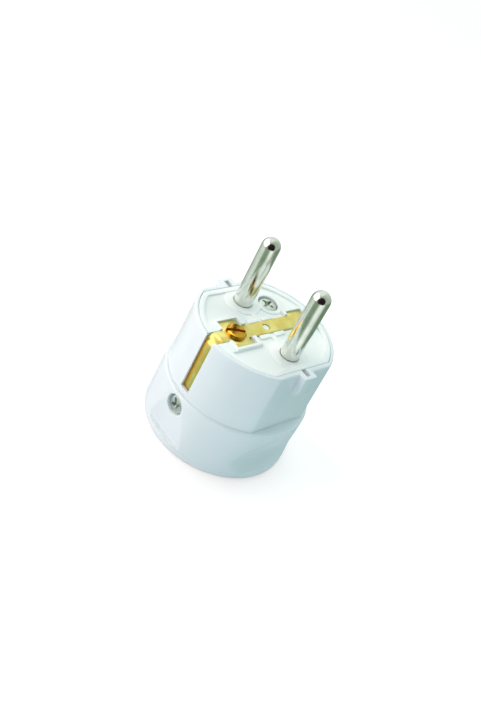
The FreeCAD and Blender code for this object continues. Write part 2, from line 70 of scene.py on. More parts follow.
# Direction round the plug in degrees, and colour, of the floor as seen in reflections
FLOOR_CARDS = (
    (-180, (0.47, 0.55, 0.49)),
    (-138, (0.74, 0.80, 0.76)),
    (-118, (0.80, 0.86, 0.80)),
    (-94, (0.26, 0.36, 0.25)),
    (-60, (0.24, 0.34, 0.23)),
    (-25, (1.10, 1.15, 1.11)),
    (-6, (0.94, 1.01, 0.96)),
    (24, (0.20, 0.30, 0.20)),
    (58, (0.18, 0.27, 0.18)),
    (104, (0.46, 0.53, 0.47)),
    (128, (0.34, 0.41, 0.36)),
    (156, (0.38, 0.46, 0.40)),
)
# The same for the walls of the room
ROOM_WALLS = (
    (-180, (0.95, 1.00, 0.95)),
    (-60, (0.45, 0.50, 0.44)),
    (40, (0.44, 0.52, 0.44)),
    (85, (0.62, 0.70, 0.62)),
    (130, (1.00, 1.06, 1.00)),
)


# Sizes and colours that a user would change

def length(name, description, default):
    return FloatProperty(name=name, description=description, default=default, unit="LENGTH", precision=5)


def colour(name, description, default):
    return FloatVectorProperty(name=name, description=description, default=default,
                               subtype="COLOR", size=3, min=0.0, max=1.0)


def power(name, description, default):
    return FloatProperty(name=name, description=description, default=default, unit="POWER")


def strength(name, description, default):
    return FloatProperty(name=name, description=description, default=default, min=0.0)


class PlugHousingSizes(bpy.types.PropertyGroup):
    height: length("Body height", "Rear face to rim", 0.034)
    front_radius: length("Front radius", "Radius of the front at the rim", 0.01815)
    front_flat: length("Front flat", "Distance of each flat from the axis at the rim", 0.01605)
    front_draft: length("Front draft", "Growth of the front from the rim to the grips", 0.0003)
    rim_round: length("Rim round", "Rounding of the rim's outer edge", 0.0005)
    collar_height: length("Collar height", "Height of the wide rear part", 0.016)
    collar_radius: length("Collar radius", "Radius of the collar at its top", 0.0193)
    collar_draft: length("Collar draft", "Growth of the collar from its top to the rear face", 0.0003)
    lip_round: length("Lip round", "Rounding of the collar's top edge", 0.0005)
    foot_round: length("Foot round", "Rounding of the collar's bottom edge", 0.0008)
    socket_radius: length("Socket radius", "Radius of the seat for the carrier", 0.01725)
    socket_flat: length("Socket flat", "Distance of the seat's flats from the axis", 0.01475)
    seat_height: length("Seat height", "Height of the ledge under the carrier", 0.030)
    cavity_radius: length("Cavity radius", "Radius of the hollow", 0.0162)
    rear_wall: length("Rear wall", "Thickness of the rear floor", 0.0025)
    cable_hole: length("Cable hole", "Radius of the cord inlet", 0.00475)
    cable_round: length("Cable hole round", "Rounding of the inlet's edge", 0.0008)
    grip_top: length("Grip top", "Height at which scoops and facets start", 0.0154)
    grip_ledge: length("Grip ledge", "Height of the ledge under scoops and facets", 0.0022)
    scoop_depth: length("Scoop depth", "Depth of the finger scoops", 0.0028)
    scoop_heel: length("Scoop heel", "Height of the deepest line of the scoops", 0.006)
    facet_depth: length("Facet depth", "Depth of the sloped facets at their ledge", 0.0012)
    key_face: length("Key face", "Distance of the key ribs' faces from the axis", 0.01795)
    key_width: length("Key width", "Width of the key ribs", 0.0041)
    key_length: length("Key length", "Length of the key ribs", 0.0065)
    key_taper: length("Key taper", "Slope at the lower end of the key ribs", 0.0012)
    notch_width: length("Notch width", "Width of the notch in each key rib", 0.0014)
    notch_face: length("Notch face", "Distance of the notches' outer end from the axis", 0.017)
    notch_depth: length("Notch depth", "Depth of the notches below the rim", 0.006)
    slot_width: length("Slot width", "Width of the earth slots", 0.0029)
    slot_end: length("Slot end", "Height of the earth slots' lower end", 0.0175)


class PlugFaceSizes(bpy.types.PropertyGroup):
    radius: length("Carrier radius", "Radius of the carrier", 0.01715)
    flat: length("Carrier flat", "Distance of the carrier's flats from the axis", 0.01465)
    rim_width: length("Rim width", "Width of the carrier's raised rim", 0.0014)
    recess: length("Face recess", "Depth of the face below the rim", 0.0005)
    boss_radius: length("Boss radius", "Radius of the low boss round each pin", 0.00475)
    boss_stand: length("Boss stand", "Height of the bosses over the face", 0.00025)
    wall: length("Guide wall", "Thickness of the raised walls along the strip", 0.0012)
    head_wall: length("Head wall", "Thickness of the raised walls round the strip's heads", 0.0008)
    head_wall_stand: length("Head wall stand", "Height of the head walls over the rim", 0.0004)
    screw_x: length("Face screw X", "Place of the face screw along the pins' line", -0.0073)
    screw_y: length("Face screw Y", "Place of the face screw along the strip", 0.007)
    pin_gap: length("Pin gap", "Width of the fine groove round each pin", 0.00016)
    pin_gap_depth: length("Pin gap depth", "Depth of the fine groove round each pin", 0.0003)
    screw_recess: length("Screw recess", "Radius of the face screw's recess", 0.0027)
    screw_depth: length("Screw depth", "Depth of the face screw's recess", 0.002)
    fit: length("Fit", "Clearance between pieces", 0.0001)


class PlugMetalSizes(bpy.types.PropertyGroup):
    pin_offset: length("Pin offset", "Distance of each pin from the axis", 0.0095)
    pin_radius: length("Pin radius", "Radius of the pins", 0.0024)
    pin_reach: length("Pin reach", "Length of the pins above the rim", 0.0193)
    shank_radius: length("Shank radius", "Radius of the pins in the carrier", 0.0029)
    neck_radius: length("Neck radius", "Radius of the pins' neck in the carrier", 0.002)
    shank_cover: length("Shank cover", "Depth of the pins' shoulder under the face", 0.0015)
    strip_width: length("Strip width", "Width of the earth strip", 0.004)
    strip_thickness: length("Strip thickness", "Thickness of the earth strip", 0.0008)
    strip_bend: length("Strip bend", "Inner radius of the strip's folds", 0.0018)
    arm_face: length("Arm face", "Distance of the strip's arms from the axis", 0.01755)
    arm_width: length("Arm width", "Width of the strip's arms", 0.0037)
    arm_end: length("Arm end", "Height of the arms' lower end", 0.0167)
    near_head: length("Near head", "Width of the strip's head under the screw", 0.0086)
    far_head: length("Far head", "Width of the strip's plain head", 0.0059)
    earth_y: length("Earth screw Y", "Place of the earth screw along the strip", -0.01005)
    earth_head: length("Earth screw head", "Radius of the earth screw's head", 0.00255)
    side_screw_z: length("Side screw Z", "Height of the side screw", 0.0121)
    side_seat: length("Side screw seat", "Distance of the side screw's seat from the axis", 0.0170)


class PlugColours(bpy.types.PropertyGroup):
    housing: colour("Housing", "Glossy white of the housing", (0.80, 0.84, 0.86))
    carrier: colour("Carrier", "Satin white of the carrier", (0.88, 0.915, 0.89))
    nickel: colour("Nickel", "Plating of the pins", (0.80, 0.83, 0.77))
    brass: colour("Brass", "Rolled brass of the strip", (0.75, 0.71, 0.26))
    dark_brass: colour("Dark brass", "Darkened brass of the earth screw", (0.6, 0.34, 0.035))
    # Painted shade: this darkens one edge of the strip's arms, where the slot's wall shades them.
    painted_shade_brass: colour("Edge brass", "Brass along the dull edge of the strip's arms", (0.98, 0.50, 0.04))
    zinc: colour("Zinc", "Zinc plating of the screws", (0.76, 0.83, 0.77))


class PlugStage(bpy.types.PropertyGroup):
    focal_length: FloatProperty(name="Focal length", description="Lens of the camera", default=46.416, unit="CAMERA")
    camera_place: FloatVectorProperty(
        name="Camera place", description="Place of the camera", default=(0.0969, -0.14987, 0.15782),
        subtype="TRANSLATION", size=3, precision=5)
    camera_turn: FloatVectorProperty(
        name="Camera turn", description="Rotation of the camera", default=(0.865762, -0.388106, 0.900697),
        subtype="EULER", size=3, precision=5)
    floor_size: length("Floor size", "Side of the floor", 6.0)
    paper_reach: length("Paper reach", "Distance at which the floor has turned into plain white paper", 0.6)
    key_power: power("Key power", "Power of the softbox on the left", 4.1)
    key_tint: colour("Key tint", "Colour of the softbox on the left", (1.0, 0.78, 0.755))
    top_power: power("Top power", "Power of the light from above", 0.93)
    top_tint: colour("Top tint", "Colour of the light from above", (1.0, 0.915, 0.924))
    front_power: power("Front power", "Power of the weak light from the front", 0.23)
    front_tint: colour("Front tint", "Colour of the weak light from the front", (1.0, 0.7, 0.87))
    crease_power: power("Crease power", "Power of the small light that only the strip and its screw show", 0.25)
    sky: strength("Sky", "Strength of the light from all round", 0.575)
    sky_tint: colour("Sky tint", "Colour of the light from all round", (0.683, 0.995, 1.0))
    mirror: strength("Mirrored room", "Strength of the room as seen in reflections", 0.95)
    glow: strength("Floor glow", "Strength of the white floor as seen", 0.42)
    glow_tint: colour("Floor glow tint", "Colour of the white floor as seen", (1.0, 0.72, 0.66))


def sizes(group):
    return getattr(bpy.context.scene, "plug_" + group)


# Mesh work

def ring_arc(centre, radius, start, end, steps=ARC_STEPS):
    """Points of an arc in the half plane of radius and height, angles in degrees."""
    points = []
    for step in range(steps + 1):
        angle = math.radians(start + (end - start) * step / steps)
        points.append((centre[0] + radius * math.cos(angle), centre[1] + radius * math.sin(angle)))
    return points


def spun(profile, steps, closed):
    """A bmesh turned from a profile of (radius, height) points about the Z axis."""
    bm = bmesh.new()
    verts = [bm.verts.new((radius, 0.0, height)) for radius, height in profile]
    edges = [bm.edges.new(pair) for pair in zip(verts, verts[1:])]
    if closed:
        edges.append(bm.edges.new((verts[-1], verts[0])))
    bmesh.ops.spin(bm, geom=verts + edges, cent=(0, 0, 0), axis=(0, 0, 1), angle=math.tau,
                   steps=steps, use_merge=True)
    bmesh.ops.remove_doubles(bm, verts=bm.verts, dist=SAME_PLACE)
    bmesh.ops.recalc_face_normals(bm, faces=bm.faces)
    return bm


def block(low, high, rounding=0.0, only_top=False):
    """A box between two corners, with its edges rounded if asked."""
    bm = bmesh.new()
    low, high = Vector(low), Vector(high)
    bmesh.ops.create_cube(bm, size=1.0)
    bmesh.ops.scale(bm, vec=high - low, verts=bm.verts)
    bmesh.ops.translate(bm, vec=(low + high) / 2, verts=bm.verts)
    if rounding:
        edges = [edge for edge in bm.edges
                 if not only_top or all(abs(vert.co.z - high.z) < SAME_PLACE for vert in edge.verts)]
        round_edges(bm, edges, rounding)
    return bm


def round_edges(bm, edges, offset, segments=3):
    bmesh.ops.bevel(bm, geom=edges, offset=offset, offset_type="OFFSET", affect="EDGES",
                    segments=segments, profile=0.5, material=-1, clamp_overlap=True)


def plate(corners, way):
    """A closed plate: a face on the corners, drawn out along a way."""
    bm = bmesh.new()
    face = bm.faces.new([bm.verts.new(corner) for corner in corners])
    grown = bmesh.ops.extrude_face_region(bm, geom=[face])
    moved = [part for part in grown["geom"] if isinstance(part, bmesh.types.BMVert)]
    bmesh.ops.translate(bm, vec=way, verts=moved)
    bmesh.ops.recalc_face_normals(bm, faces=bm.faces)
    return bm


def rod(radius, start, end, steps=SMALL_STEPS, end_radius=None):
    """A straight rod, or a cone where its end has a radius of its own."""
    start, end = Vector(start), Vector(end)
    bm = bmesh.new()
    bmesh.ops.create_cone(bm, cap_ends=True, segments=steps, radius1=radius,
                          radius2=radius if end_radius is None else end_radius, depth=(end - start).length)
    point = Vector((0, 0, 1)).rotation_difference(end - start).to_matrix().to_4x4()
    bmesh.ops.transform(bm, matrix=Matrix.Translation((start + end) / 2) @ point, verts=bm.verts)
    return bm


def upright(radius, x, y, low, high, steps=SMALL_STEPS):
    return rod(radius, (x, y, low), (x, y, high), steps)


def turn(bm, angle, axis):
    bmesh.ops.rotate(bm, cent=(0, 0, 0), matrix=Matrix.Rotation(angle, 3, axis), verts=bm.verts)


def both_sides(bm):
    """A tool and its twin, half a turn on about the plug's axis."""
    twin = bm.copy()
    turn(twin, math.pi, "Z")
    return [bm, twin]


def as_object(bm, name):
    mesh = bpy.data.meshes.new(name)
    bm.to_mesh(mesh)
    bm.free()
    piece = bpy.data.objects.new(name, mesh)
    bpy.context.scene.collection.objects.link(piece)
    return piece


def carve(piece, tools, operation):
    """Joins tools to a piece, or cuts them out of it, one after the other."""
    for tool in tools:
        helper = as_object(tool, "tool")
        modifier = piece.modifiers.new("shape", "BOOLEAN")
        modifier.operation = operation
        modifier.solver = "EXACT"
        modifier.object = helper
        shaped = bpy.data.meshes.new_from_object(piece.evaluated_get(bpy.context.evaluated_depsgraph_get()))
        piece.modifiers.remove(modifier)
        old, piece.data = piece.data, shaped
        bpy.data.meshes.remove(old)
        spare = helper.data
        bpy.data.objects.remove(helper)
        bpy.data.meshes.remove(spare)


def finish_piece(piece, material, node):
    """Cleans and shades a piece, gives it its material and puts it in the place of its CAD node."""
    mesh = piece.data
    bm = bmesh.new()
    bm.from_mesh(mesh)
    bmesh.ops.remove_doubles(bm, verts=bm.verts, dist=CLEAN_UP)
    bmesh.ops.dissolve_degenerate(bm, edges=bm.edges, dist=CLEAN_UP)
    bm.to_mesh(mesh)
    bm.free()
    mesh.shade_smooth()
    mesh.set_sharp_from_angle(angle=math.radians(SHARP_ANGLE))
    mesh.materials.clear()
    mesh.materials.append(material)
    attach(piece, "root")
    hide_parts(node)


def soft_limit(value, limit, softness):
    """value held under limit, with a rounded corner where they meet."""
    gap = (value - limit) / softness
    if abs(gap) > FAR_OFF:
        return min(value, limit)
    return value - softness * math.log1p(math.exp(gap))


# Materials

# Noise scales, per metre
FLOW_SCALE, GLOSS_SCALE, SKIN_SCALE, TARNISH_SCALE = 90.0, 420.0, 2600.0, 260.0
FLOW_STRETCH = (1.0, 1.0, 0.4)
FLOW_SHADES = (0.975, 1.015)    # shares of the plastic's colour
BRIGHT_SHARE = 1.06             # share of the metal's colour where it is untarnished
NOISE_LOW, NOISE_HIGH = 0.3, 0.7    # most of a noise lies between these
SHADE_LOW, SHADE_HIGH = 0.35, 0.65  # noise between which one shade turns into the other
SKIN_DEPTH, TOOL_MARK_DEPTH = 0.00002, 0.00001
EVEN = (1.0, 1.0, 1.0)
GREY_TARNISH = (0.86, 0.86, 0.86)
# Painted shade on the arms next to the slot's wall, in place of the wall's shade falling on them.
PAINTED_SHADE_X = (-0.0001, -0.0012)  # X between which the arms turn brown
PAINTED_SHADE_Z = (0.0334, 0.0318)     # Z between which the brown sets in below the fold


def shader(name):
    """A material with its tree and its surface, which are None where it was made before."""
    material = bpy.data.materials.get(name)
    if material:
        return material, None, None
    material = bpy.data.materials.new(name)
    material.use_nodes = True
    return material, material.node_tree, material.node_tree.nodes["Principled BSDF"]


def noise(tree, scale, detail, stretch=EVEN):
    """Noise on the piece's own coordinates, stretched along an axis if asked."""
    place = tree.nodes.new("ShaderNodeTexCoord")
    mapping = tree.nodes.new("ShaderNodeMapping")
    mapping.inputs["Scale"].default_value = stretch
    texture = tree.nodes.new("ShaderNodeTexNoise")
    texture.inputs["Scale"].default_value = scale
    texture.inputs["Detail"].default_value = detail
    tree.links.new(place.outputs["Object"], mapping.inputs["Vector"])
    tree.links.new(mapping.outputs["Vector"], texture.inputs["Vector"])
    return texture.outputs["Fac"]


def ramp(tree, factor, low, high):
    node = tree.nodes.new("ShaderNodeValToRGB")
    node.color_ramp.elements[0].position = SHADE_LOW
    node.color_ramp.elements[1].position = SHADE_HIGH
    node.color_ramp.elements[0].color = (*low, 1.0)
    node.color_ramp.elements[1].color = (*high, 1.0)
    tree.links.new(factor, node.inputs["Fac"])
    return node.outputs["Color"]


def spread(tree, factor, low, high):
    node = tree.nodes.new("ShaderNodeMapRange")
    node.inputs["From Min"].default_value = NOISE_LOW
    node.inputs["From Max"].default_value = NOISE_HIGH
    node.inputs["To Min"].default_value = low
    node.inputs["To Max"].default_value = high
    tree.links.new(factor, node.inputs["Value"])
    return node.outputs["Result"]


def between(tree, value, start, end):
    """Nothing at the start value, rising smoothly to one at the end value."""
    node = tree.nodes.new("ShaderNodeMapRange")
    node.interpolation_type = "SMOOTHSTEP"
    node.inputs["From Min"].default_value = start
    node.inputs["From Max"].default_value = end
    tree.links.new(value, node.inputs["Value"])
    return node.outputs["Result"]


def product(tree, first, second):
    node = tree.nodes.new("ShaderNodeMath")
    node.operation = "MULTIPLY"
    tree.links.new(first, node.inputs[0])
    tree.links.new(second, node.inputs[1])
    return node.outputs[0]


def bump(tree, height, amount, distance):
    node = tree.nodes.new("ShaderNodeBump")
    node.inputs["Strength"].default_value = amount
    node.inputs["Distance"].default_value = distance
    tree.links.new(height, node.inputs["Height"])
    return node.outputs["Normal"]


def tinted(base, share):
    return tuple(min(1.0, value * share) for value in base)


def dulled(base, shares):
    return tuple(value * share for value, share in zip(base, shares))


def moulded_plastic(name, base, rough, grain):
    """White moulded plastic: faint flow marks, uneven gloss and a fine skin."""
    material, tree, surface = shader(name)
    if tree:
        shades = [tinted(base, share) for share in FLOW_SHADES]
        flow = noise(tree, FLOW_SCALE, 3.0, FLOW_STRETCH)
        tree.links.new(ramp(tree, flow, *shades), surface.inputs["Base Color"])
        tree.links.new(spread(tree, noise(tree, GLOSS_SCALE, 2.0), *rough), surface.inputs["Roughness"])
        skin = bump(tree, noise(tree, SKIN_SCALE, 2.0), grain, SKIN_DEPTH)
        tree.links.new(skin, surface.inputs["Normal"])
        surface.inputs["IOR"].default_value = 1.5
        surface.inputs["Subsurface Weight"].default_value = 0.2
        surface.inputs["Subsurface Radius"].default_value = EVEN
        surface.inputs["Subsurface Scale"].default_value = 0.0006
    return material


def worked_metal(name, base, tarnish, rough, grain, scale, stretch=EVEN, metallic=1.0):
    """Bare or plated metal with tool marks along one direction and faint tarnish."""
    material, tree, surface = shader(name)
    if tree:
        patches = noise(tree, TARNISH_SCALE, 4.0)
        shades = ramp(tree, patches, dulled(base, tarnish), tinted(base, BRIGHT_SHARE))
        tree.links.new(shades, surface.inputs["Base Color"])
        marks = noise(tree, scale, 3.0, stretch)
        tree.links.new(spread(tree, marks, *rough), surface.inputs["Roughness"])
        tree.links.new(bump(tree, marks, grain, TOOL_MARK_DEPTH), surface.inputs["Normal"])
        surface.inputs["Metallic"].default_value = metallic
    return material


def housing_white():
    return moulded_plastic("housing_white", sizes("colours").housing, rough=(0.2, 0.27), grain=0.08)


def carrier_white():
    return moulded_plastic("carrier_white", sizes("colours").carrier, rough=(0.34, 0.44), grain=0.18)


def pin_nickel():
    return worked_metal("pin_nickel", sizes("colours").nickel, GREY_TARNISH, rough=(0.12, 0.2),
                        grain=0.06, scale=1800.0, stretch=(1.0, 1.0, 0.12))


def strip_brass():
    """Rolled brass, with painted shade along one edge of the arms, where the slot's wall shades them."""
    known = bpy.data.materials.get("rolled_brass")
    if known:
        return known
    colours = sizes("colours")
    material = worked_metal("rolled_brass", colours.brass, (0.90, 0.78, 0.50), rough=(0.28, 0.40),
                            grain=0.15, scale=2400.0, stretch=(1.0, 0.08, 1.0), metallic=0.88)
    tree = material.node_tree
    surface = tree.nodes["Principled BSDF"]
    bright = surface.inputs["Base Color"].links[0].from_socket
    place = tree.nodes.new("ShaderNodeTexCoord")
    apart = tree.nodes.new("ShaderNodeSeparateXYZ")
    tree.links.new(place.outputs["Object"], apart.inputs["Vector"])
    # Mask of painted shade along one edge of the arms, below the fold.
    painted_shade = product(tree, between(tree, apart.outputs["X"], *PAINTED_SHADE_X), between(tree, apart.outputs["Z"], *PAINTED_SHADE_Z))
    blend = tree.nodes.new("ShaderNodeMix")
    blend.data_type = "RGBA"
    tree.links.new(painted_shade, blend.inputs["Factor"])
    tree.links.new(bright, blend.inputs["A"])
    blend.inputs["B"].default_value = (*colours.painted_shade_brass, 1.0)
    tree.links.new(blend.outputs["Result"], surface.inputs["Base Color"])
    return material


def screw_brass():
    return worked_metal("screw_brass", sizes("colours").dark_brass, (0.86, 0.80, 0.70), rough=(0.16, 0.28),
                        grain=0.15, scale=1600.0)


def screw_zinc():
    return worked_metal("screw_zinc", sizes("colours").zinc, GREY_TARNISH, rough=(0.28, 0.42),
                        grain=0.15, scale=2000.0)


# Housing

COARSE_RINGS, FINE_RINGS, FRONT_RINGS = 0.00025, 0.00008, 0.001     # spacing of the shell's rings
LEDGE_MARGIN = 0.0001
SOCKET_BREAK = 0.00008      # broken edge of the carrier's seat
SCOOP_BULGE = 0.35
SEAT_SOFT, FLAT_SOFT, SCOOP_SOFT, FACET_SOFT = 0.00005, 0.00008, 0.0005, 0.00004    # soft corners of the presses
PRESS_MARGIN, LIP_MARGIN, LEVEL_MARGIN = 0.0001, 0.0004, 1e-6
WALL_ROOT = 0.0006          # how far the key ribs and the post's web reach into the wall
KEY_OUTER, KEY_EDGE = 0.0005, 0.00035
POST_RADIUS, WEB_HALF, WEB_DROP = 0.00275, 0.0008, 0.001
PILOT_RADIUS, PILOT_DEPTH = 0.0015, 0.012
SIDE_BOSS, SIDE_HOLE = 0.0033, 0.0017
LEG_FACE = 0.01537          # outer face of the carrier's legs, where the side screw's boss ends
WAY_BACK = 0.0150           # how near to the axis the cuts through the wall reach
SLOT_OVERLAP = 0.0005
RECESS_FLOOR, RECESS_MOUTH, MOUTH_EDGE = 0.0026, 0.0027, 0.0034     # radii of the side screw's recess
MOUTH_ROUND, MOUTH_DROP, MOUTH_OVERCUT = 0.0005, 0.0006, 0.0004


def collar_radius(size, height):
    return size.collar_radius + size.collar_draft * (size.collar_height - height) / size.collar_height


def front_radius(size, height):
    return size.front_radius + size.front_draft * (size.height - height) / (size.height - size.grip_top)


def steps_between(low, high, step):
    count = max(1, round((high - low) / step))
    return [low + (high - low) * index / count for index in range(1, count + 1)]


def housing_profile(size):
    """Section of the shell from the cable hole round the outside and back along the hollow."""
    foot = size.foot_round
    lip = size.lip_round
    foot_radius = collar_radius(size, foot)
    lip_low = size.collar_height - lip
    lip_radius = collar_radius(size, lip_low)
    rim_low = size.height - size.rim_round
    corner = size.rim_round
    points = [(size.cable_hole, size.rear_wall)]
    points += ring_arc((size.cable_hole + size.cable_round, size.cable_round), size.cable_round, 180, 270)
    points += ring_arc((foot_radius - foot, foot), foot, 270, 360)
    ledge_low = size.grip_ledge - LEDGE_MARGIN
    heights = steps_between(foot, ledge_low, COARSE_RINGS)
    heights += steps_between(ledge_low, size.scoop_heel, FINE_RINGS)
    heights += steps_between(size.scoop_heel, lip_low, COARSE_RINGS)
    points += [(collar_radius(size, height), height) for height in heights]
    points += ring_arc((lip_radius - lip, lip_low), lip, 0, 90)[1:]
    heights = [size.collar_height] + steps_between(size.collar_height, rim_low, FRONT_RINGS)
    points += [(front_radius(size, height), height) for height in heights]
    points += ring_arc((size.front_radius - corner, rim_low), corner, 0, 90)[1:]
    points += [(size.socket_radius + SOCKET_BREAK, size.height), (size.socket_radius, size.height - SOCKET_BREAK)]
    points += [(size.socket_radius, size.seat_height), (size.cavity_radius, size.seat_height)]
    points += [(size.cavity_radius, size.rear_wall)]
    return points


def scoop_limit(size, height):
    """How far out the finger scoop lets the collar reach at a height."""
    if height <= size.grip_ledge or height >= size.grip_top:
        return None
    top = collar_radius(size, size.grip_top)
    heel = collar_radius(size, size.scoop_heel) - size.scoop_depth
    if height > size.scoop_heel:
        share = (size.grip_top - height) / (size.grip_top - size.scoop_heel)
        return top - (top - heel) * (share + SCOOP_BULGE * share * (1 - share))
    share = (size.scoop_heel - height) / (size.scoop_heel - size.grip_ledge)
    return heel + (collar_radius(size, size.grip_ledge) - heel) * (1 - math.sqrt(1 - share * share))


def facet_limit(size, height):
    """How far out the sloped facet lets the collar reach at a height beside the scoops."""
    top = collar_radius(size, size.grip_top)
    low = collar_radius(size, size.grip_ledge) - size.facet_depth
    return top - (top - low) * (size.grip_top - height) / (size.grip_top - size.grip_ledge)


def limit_axis(vert, axis, limit, softness):
    side = math.copysign(1.0, vert.co[axis])
    vert.co[axis] = side * soft_limit(abs(vert.co[axis]), limit, softness)


def press_flats(bm, size):
    """Presses the flats, scoops and facets into the turned shell."""
    front_cut = size.front_radius - size.front_flat
    inner_cut = size.socket_radius - size.socket_flat
    collar_inside = size.collar_radius - 2 * size.lip_round
    for vert in bm.verts:
        radius = math.hypot(vert.co.x, vert.co.y)
        height = vert.co.z
        if radius <= size.cavity_radius - PRESS_MARGIN:
            continue
        if radius <= size.socket_radius + PRESS_MARGIN:
            limit_axis(vert, X, radius - inner_cut, SEAT_SOFT)
        elif height >= size.collar_height - LEVEL_MARGIN:
            if radius < collar_inside + LIP_MARGIN:
                limit_axis(vert, X, radius - front_cut, FLAT_SOFT)
        elif radius > collar_inside:
            scoop = scoop_limit(size, height)
            if scoop is not None:
                limit_axis(vert, X, scoop, SCOOP_SOFT)
                limit_axis(vert, Y, facet_limit(size, height), FACET_SOFT)


def key_rib(size):
    """One key rib, with its slope at the lower end and rounded outer edges."""
    half = size.key_width / 2
    low = size.height - size.key_length
    root = size.front_flat - WALL_ROOT
    outline = [(root, low), (size.front_flat, low), (size.key_face, low + size.key_taper),
               (size.key_face, size.height), (root, size.height)]
    bm = plate([(x, -half, z) for x, z in outline], (0, size.key_width, 0))
    limit = size.front_flat + KEY_OUTER
    round_edges(bm, [edge for edge in bm.edges if all(vert.co.x > limit for vert in edge.verts)], KEY_EDGE)
    return bm


def housing_joins(size, face, metal):
    """Key ribs, the face screw's post with its web, and the side screw's boss."""
    rear = size.rear_wall - SHORT_ROOT
    post = upright(POST_RADIUS, face.screw_x, face.screw_y, rear, size.seat_height - HAIR)
    reach = Vector((face.screw_x, face.screw_y, 0.0))
    web = block((reach.length, -WEB_HALF, rear),
                (size.cavity_radius + WALL_ROOT, WEB_HALF, size.seat_height - WEB_DROP))
    turn(web, math.atan2(reach.y, reach.x), "Z")
    level = metal.side_screw_z
    boss = rod(SIDE_BOSS, (0, -size.cavity_radius - ROOT, level), (0, -LEG_FACE, level))
    return both_sides(key_rib(size)) + [post, web, boss]


def side_recess(size, metal):
    """The side screw's recess and hole, turned as one tool so that no two cuts meet on the seat."""
    depth = collar_radius(size, metal.side_screw_z) - metal.side_seat
    bend = depth - MOUTH_DROP
    inside = WAY_BACK - metal.side_seat
    profile = [(0.0, inside), (SIDE_HOLE, inside), (SIDE_HOLE, 0.0), (RECESS_FLOOR, 0.0), (RECESS_MOUTH, bend)]
    profile += ring_arc((RECESS_MOUTH + MOUTH_ROUND, bend), MOUTH_ROUND, 180, 90)
    profile += [(MOUTH_EDGE, depth + MOUTH_OVERCUT), (0.0, depth + MOUTH_OVERCUT)]
    tool = spun(profile, SMALL_STEPS, False)
    turn(tool, math.pi / 2, "X")
    bmesh.ops.translate(tool, vec=(0, -metal.side_seat, metal.side_screw_z), verts=tool.verts)
    return tool


def housing_cuts(size, face, metal):
    """Ways and slots for the strip's arms, notches in the ribs, and both screws' holes."""
    top = size.height + OVERCUT
    half = size.slot_width / 2
    slot = block((-half, -size.collar_radius, size.slot_end), (half, -metal.arm_face + SLOT_OVERLAP, top))
    half = metal.arm_width / 2 + face.fit
    way = block((-half, -metal.arm_face - face.fit, metal.arm_end - face.fit), (half, -WAY_BACK, top))
    half = size.notch_width / 2
    notch = block((size.socket_flat - UNDERCUT, -half, size.height - size.notch_depth), (size.notch_face, half, top))
    seat = size.seat_height
    pilot = upright(PILOT_RADIUS, face.screw_x, face.screw_y, seat - PILOT_DEPTH, seat + OVERCUT)
    return both_sides(way) + both_sides(slot) + both_sides(notch) + [side_recess(size, metal), pilot]


def make_housing():
    size = sizes("housing")
    face = sizes("face")
    metal = sizes("metal")
    shell = spun(housing_profile(size), SPIN_STEPS, True)
    press_flats(shell, size)
    piece = as_object(shell, "housing_shell")
    carve(piece, housing_joins(size, face, metal), "UNION")
    carve(piece, housing_cuts(size, face, metal), "DIFFERENCE")
    finish_piece(piece, housing_white(), "housing")


# Carrier

RIM_EDGE, RIM_FILLET, RIM_MARGIN = 0.0002, 0.00015, 0.0005
# Low and high Y of what lies along the strip
NEAR_HEAD, FAR_HEAD = (-0.0127, -0.0074), (0.0091, 0.0141)
NEAR_ROOM_END = -0.0066
GUIDE_ROOM = (-0.0084, 0.010)
GUIDE_WALLS = ((-0.004, -0.00065), (0.00065, 0.004))
NEAR_PLINTH, NEAR_WALL = (-0.0160, -0.0052), (-0.0135, -0.0052)
FAR_PLINTH, FAR_WALL = (0.0083, 0.0160), (0.0083, 0.0149)
WALL_DROP = 0.00002         # keeps the walls' tops just under the rim
RIB_HALF = 0.0007           # half width of the low ribs between strip and pins
WALL_EDGE, BOSS_EDGE, PLINTH_EDGE, HEAD_EDGE = 0.00012, 0.0001, 0.00015, 0.0003
# Behind the face
CHAMBER_WALL, CHAMBER_REACH = 0.0039, 0.010     # half width and length outside
CHAMBER_HALF, CHAMBER_DEPTH = 0.003, 0.0101     # and inside
DRIVER_HALF, DRIVER_REACH, DRIVER_TOP = 0.0024, 0.0040, 0.0244      # way to the wire screws
LEG_HALF, LEG_BACK, LEG_FOOT, FAR_LEG_FOOT = 0.0048, 0.01277, 0.0035, 0.0157
GRIP_HALF, GRIP_ENDS, GRIP_LEVEL = 0.011, (-0.009, -0.002), 0.0095  # fixed half of the cord grip
BRIDGE_ENDS = (-0.0129, -0.0088)                # joins the grip to the near leg
STAY_HALF, STAY_FACE, STAY_BACK = 0.00185, 0.01665, 0.013           # behind the strip's arms
FOLD_OUT = 0.018
CLAMP_SCREW_X, CLAMP_SCREW_ENDS, CLAMP_SCREW_HOLE, CLAMP_STEPS = 0.0084, (-0.0069, -0.0019), 0.0013, 32
CORD_LEVEL, CORD_CHANNEL, CORD_ENDS, CORD_STEPS = 0.0065, 0.0039, (0.003, 0.010), 64
POCKET_BEVEL = 0.0003
FACE_SCREW_HOLE, EARTH_SCREW_HOLE = 0.00165, 0.0019
NUT_HALF, NUT_POCKET, LEG_HOLE = 0.00285, (-0.01442, -0.01232), (-0.016, -0.0114)
PEG_RADIUS, PEG_EDGE, PEG_DROP, PEG_STEPS = 0.00095, 0.00015, 0.0004, 40


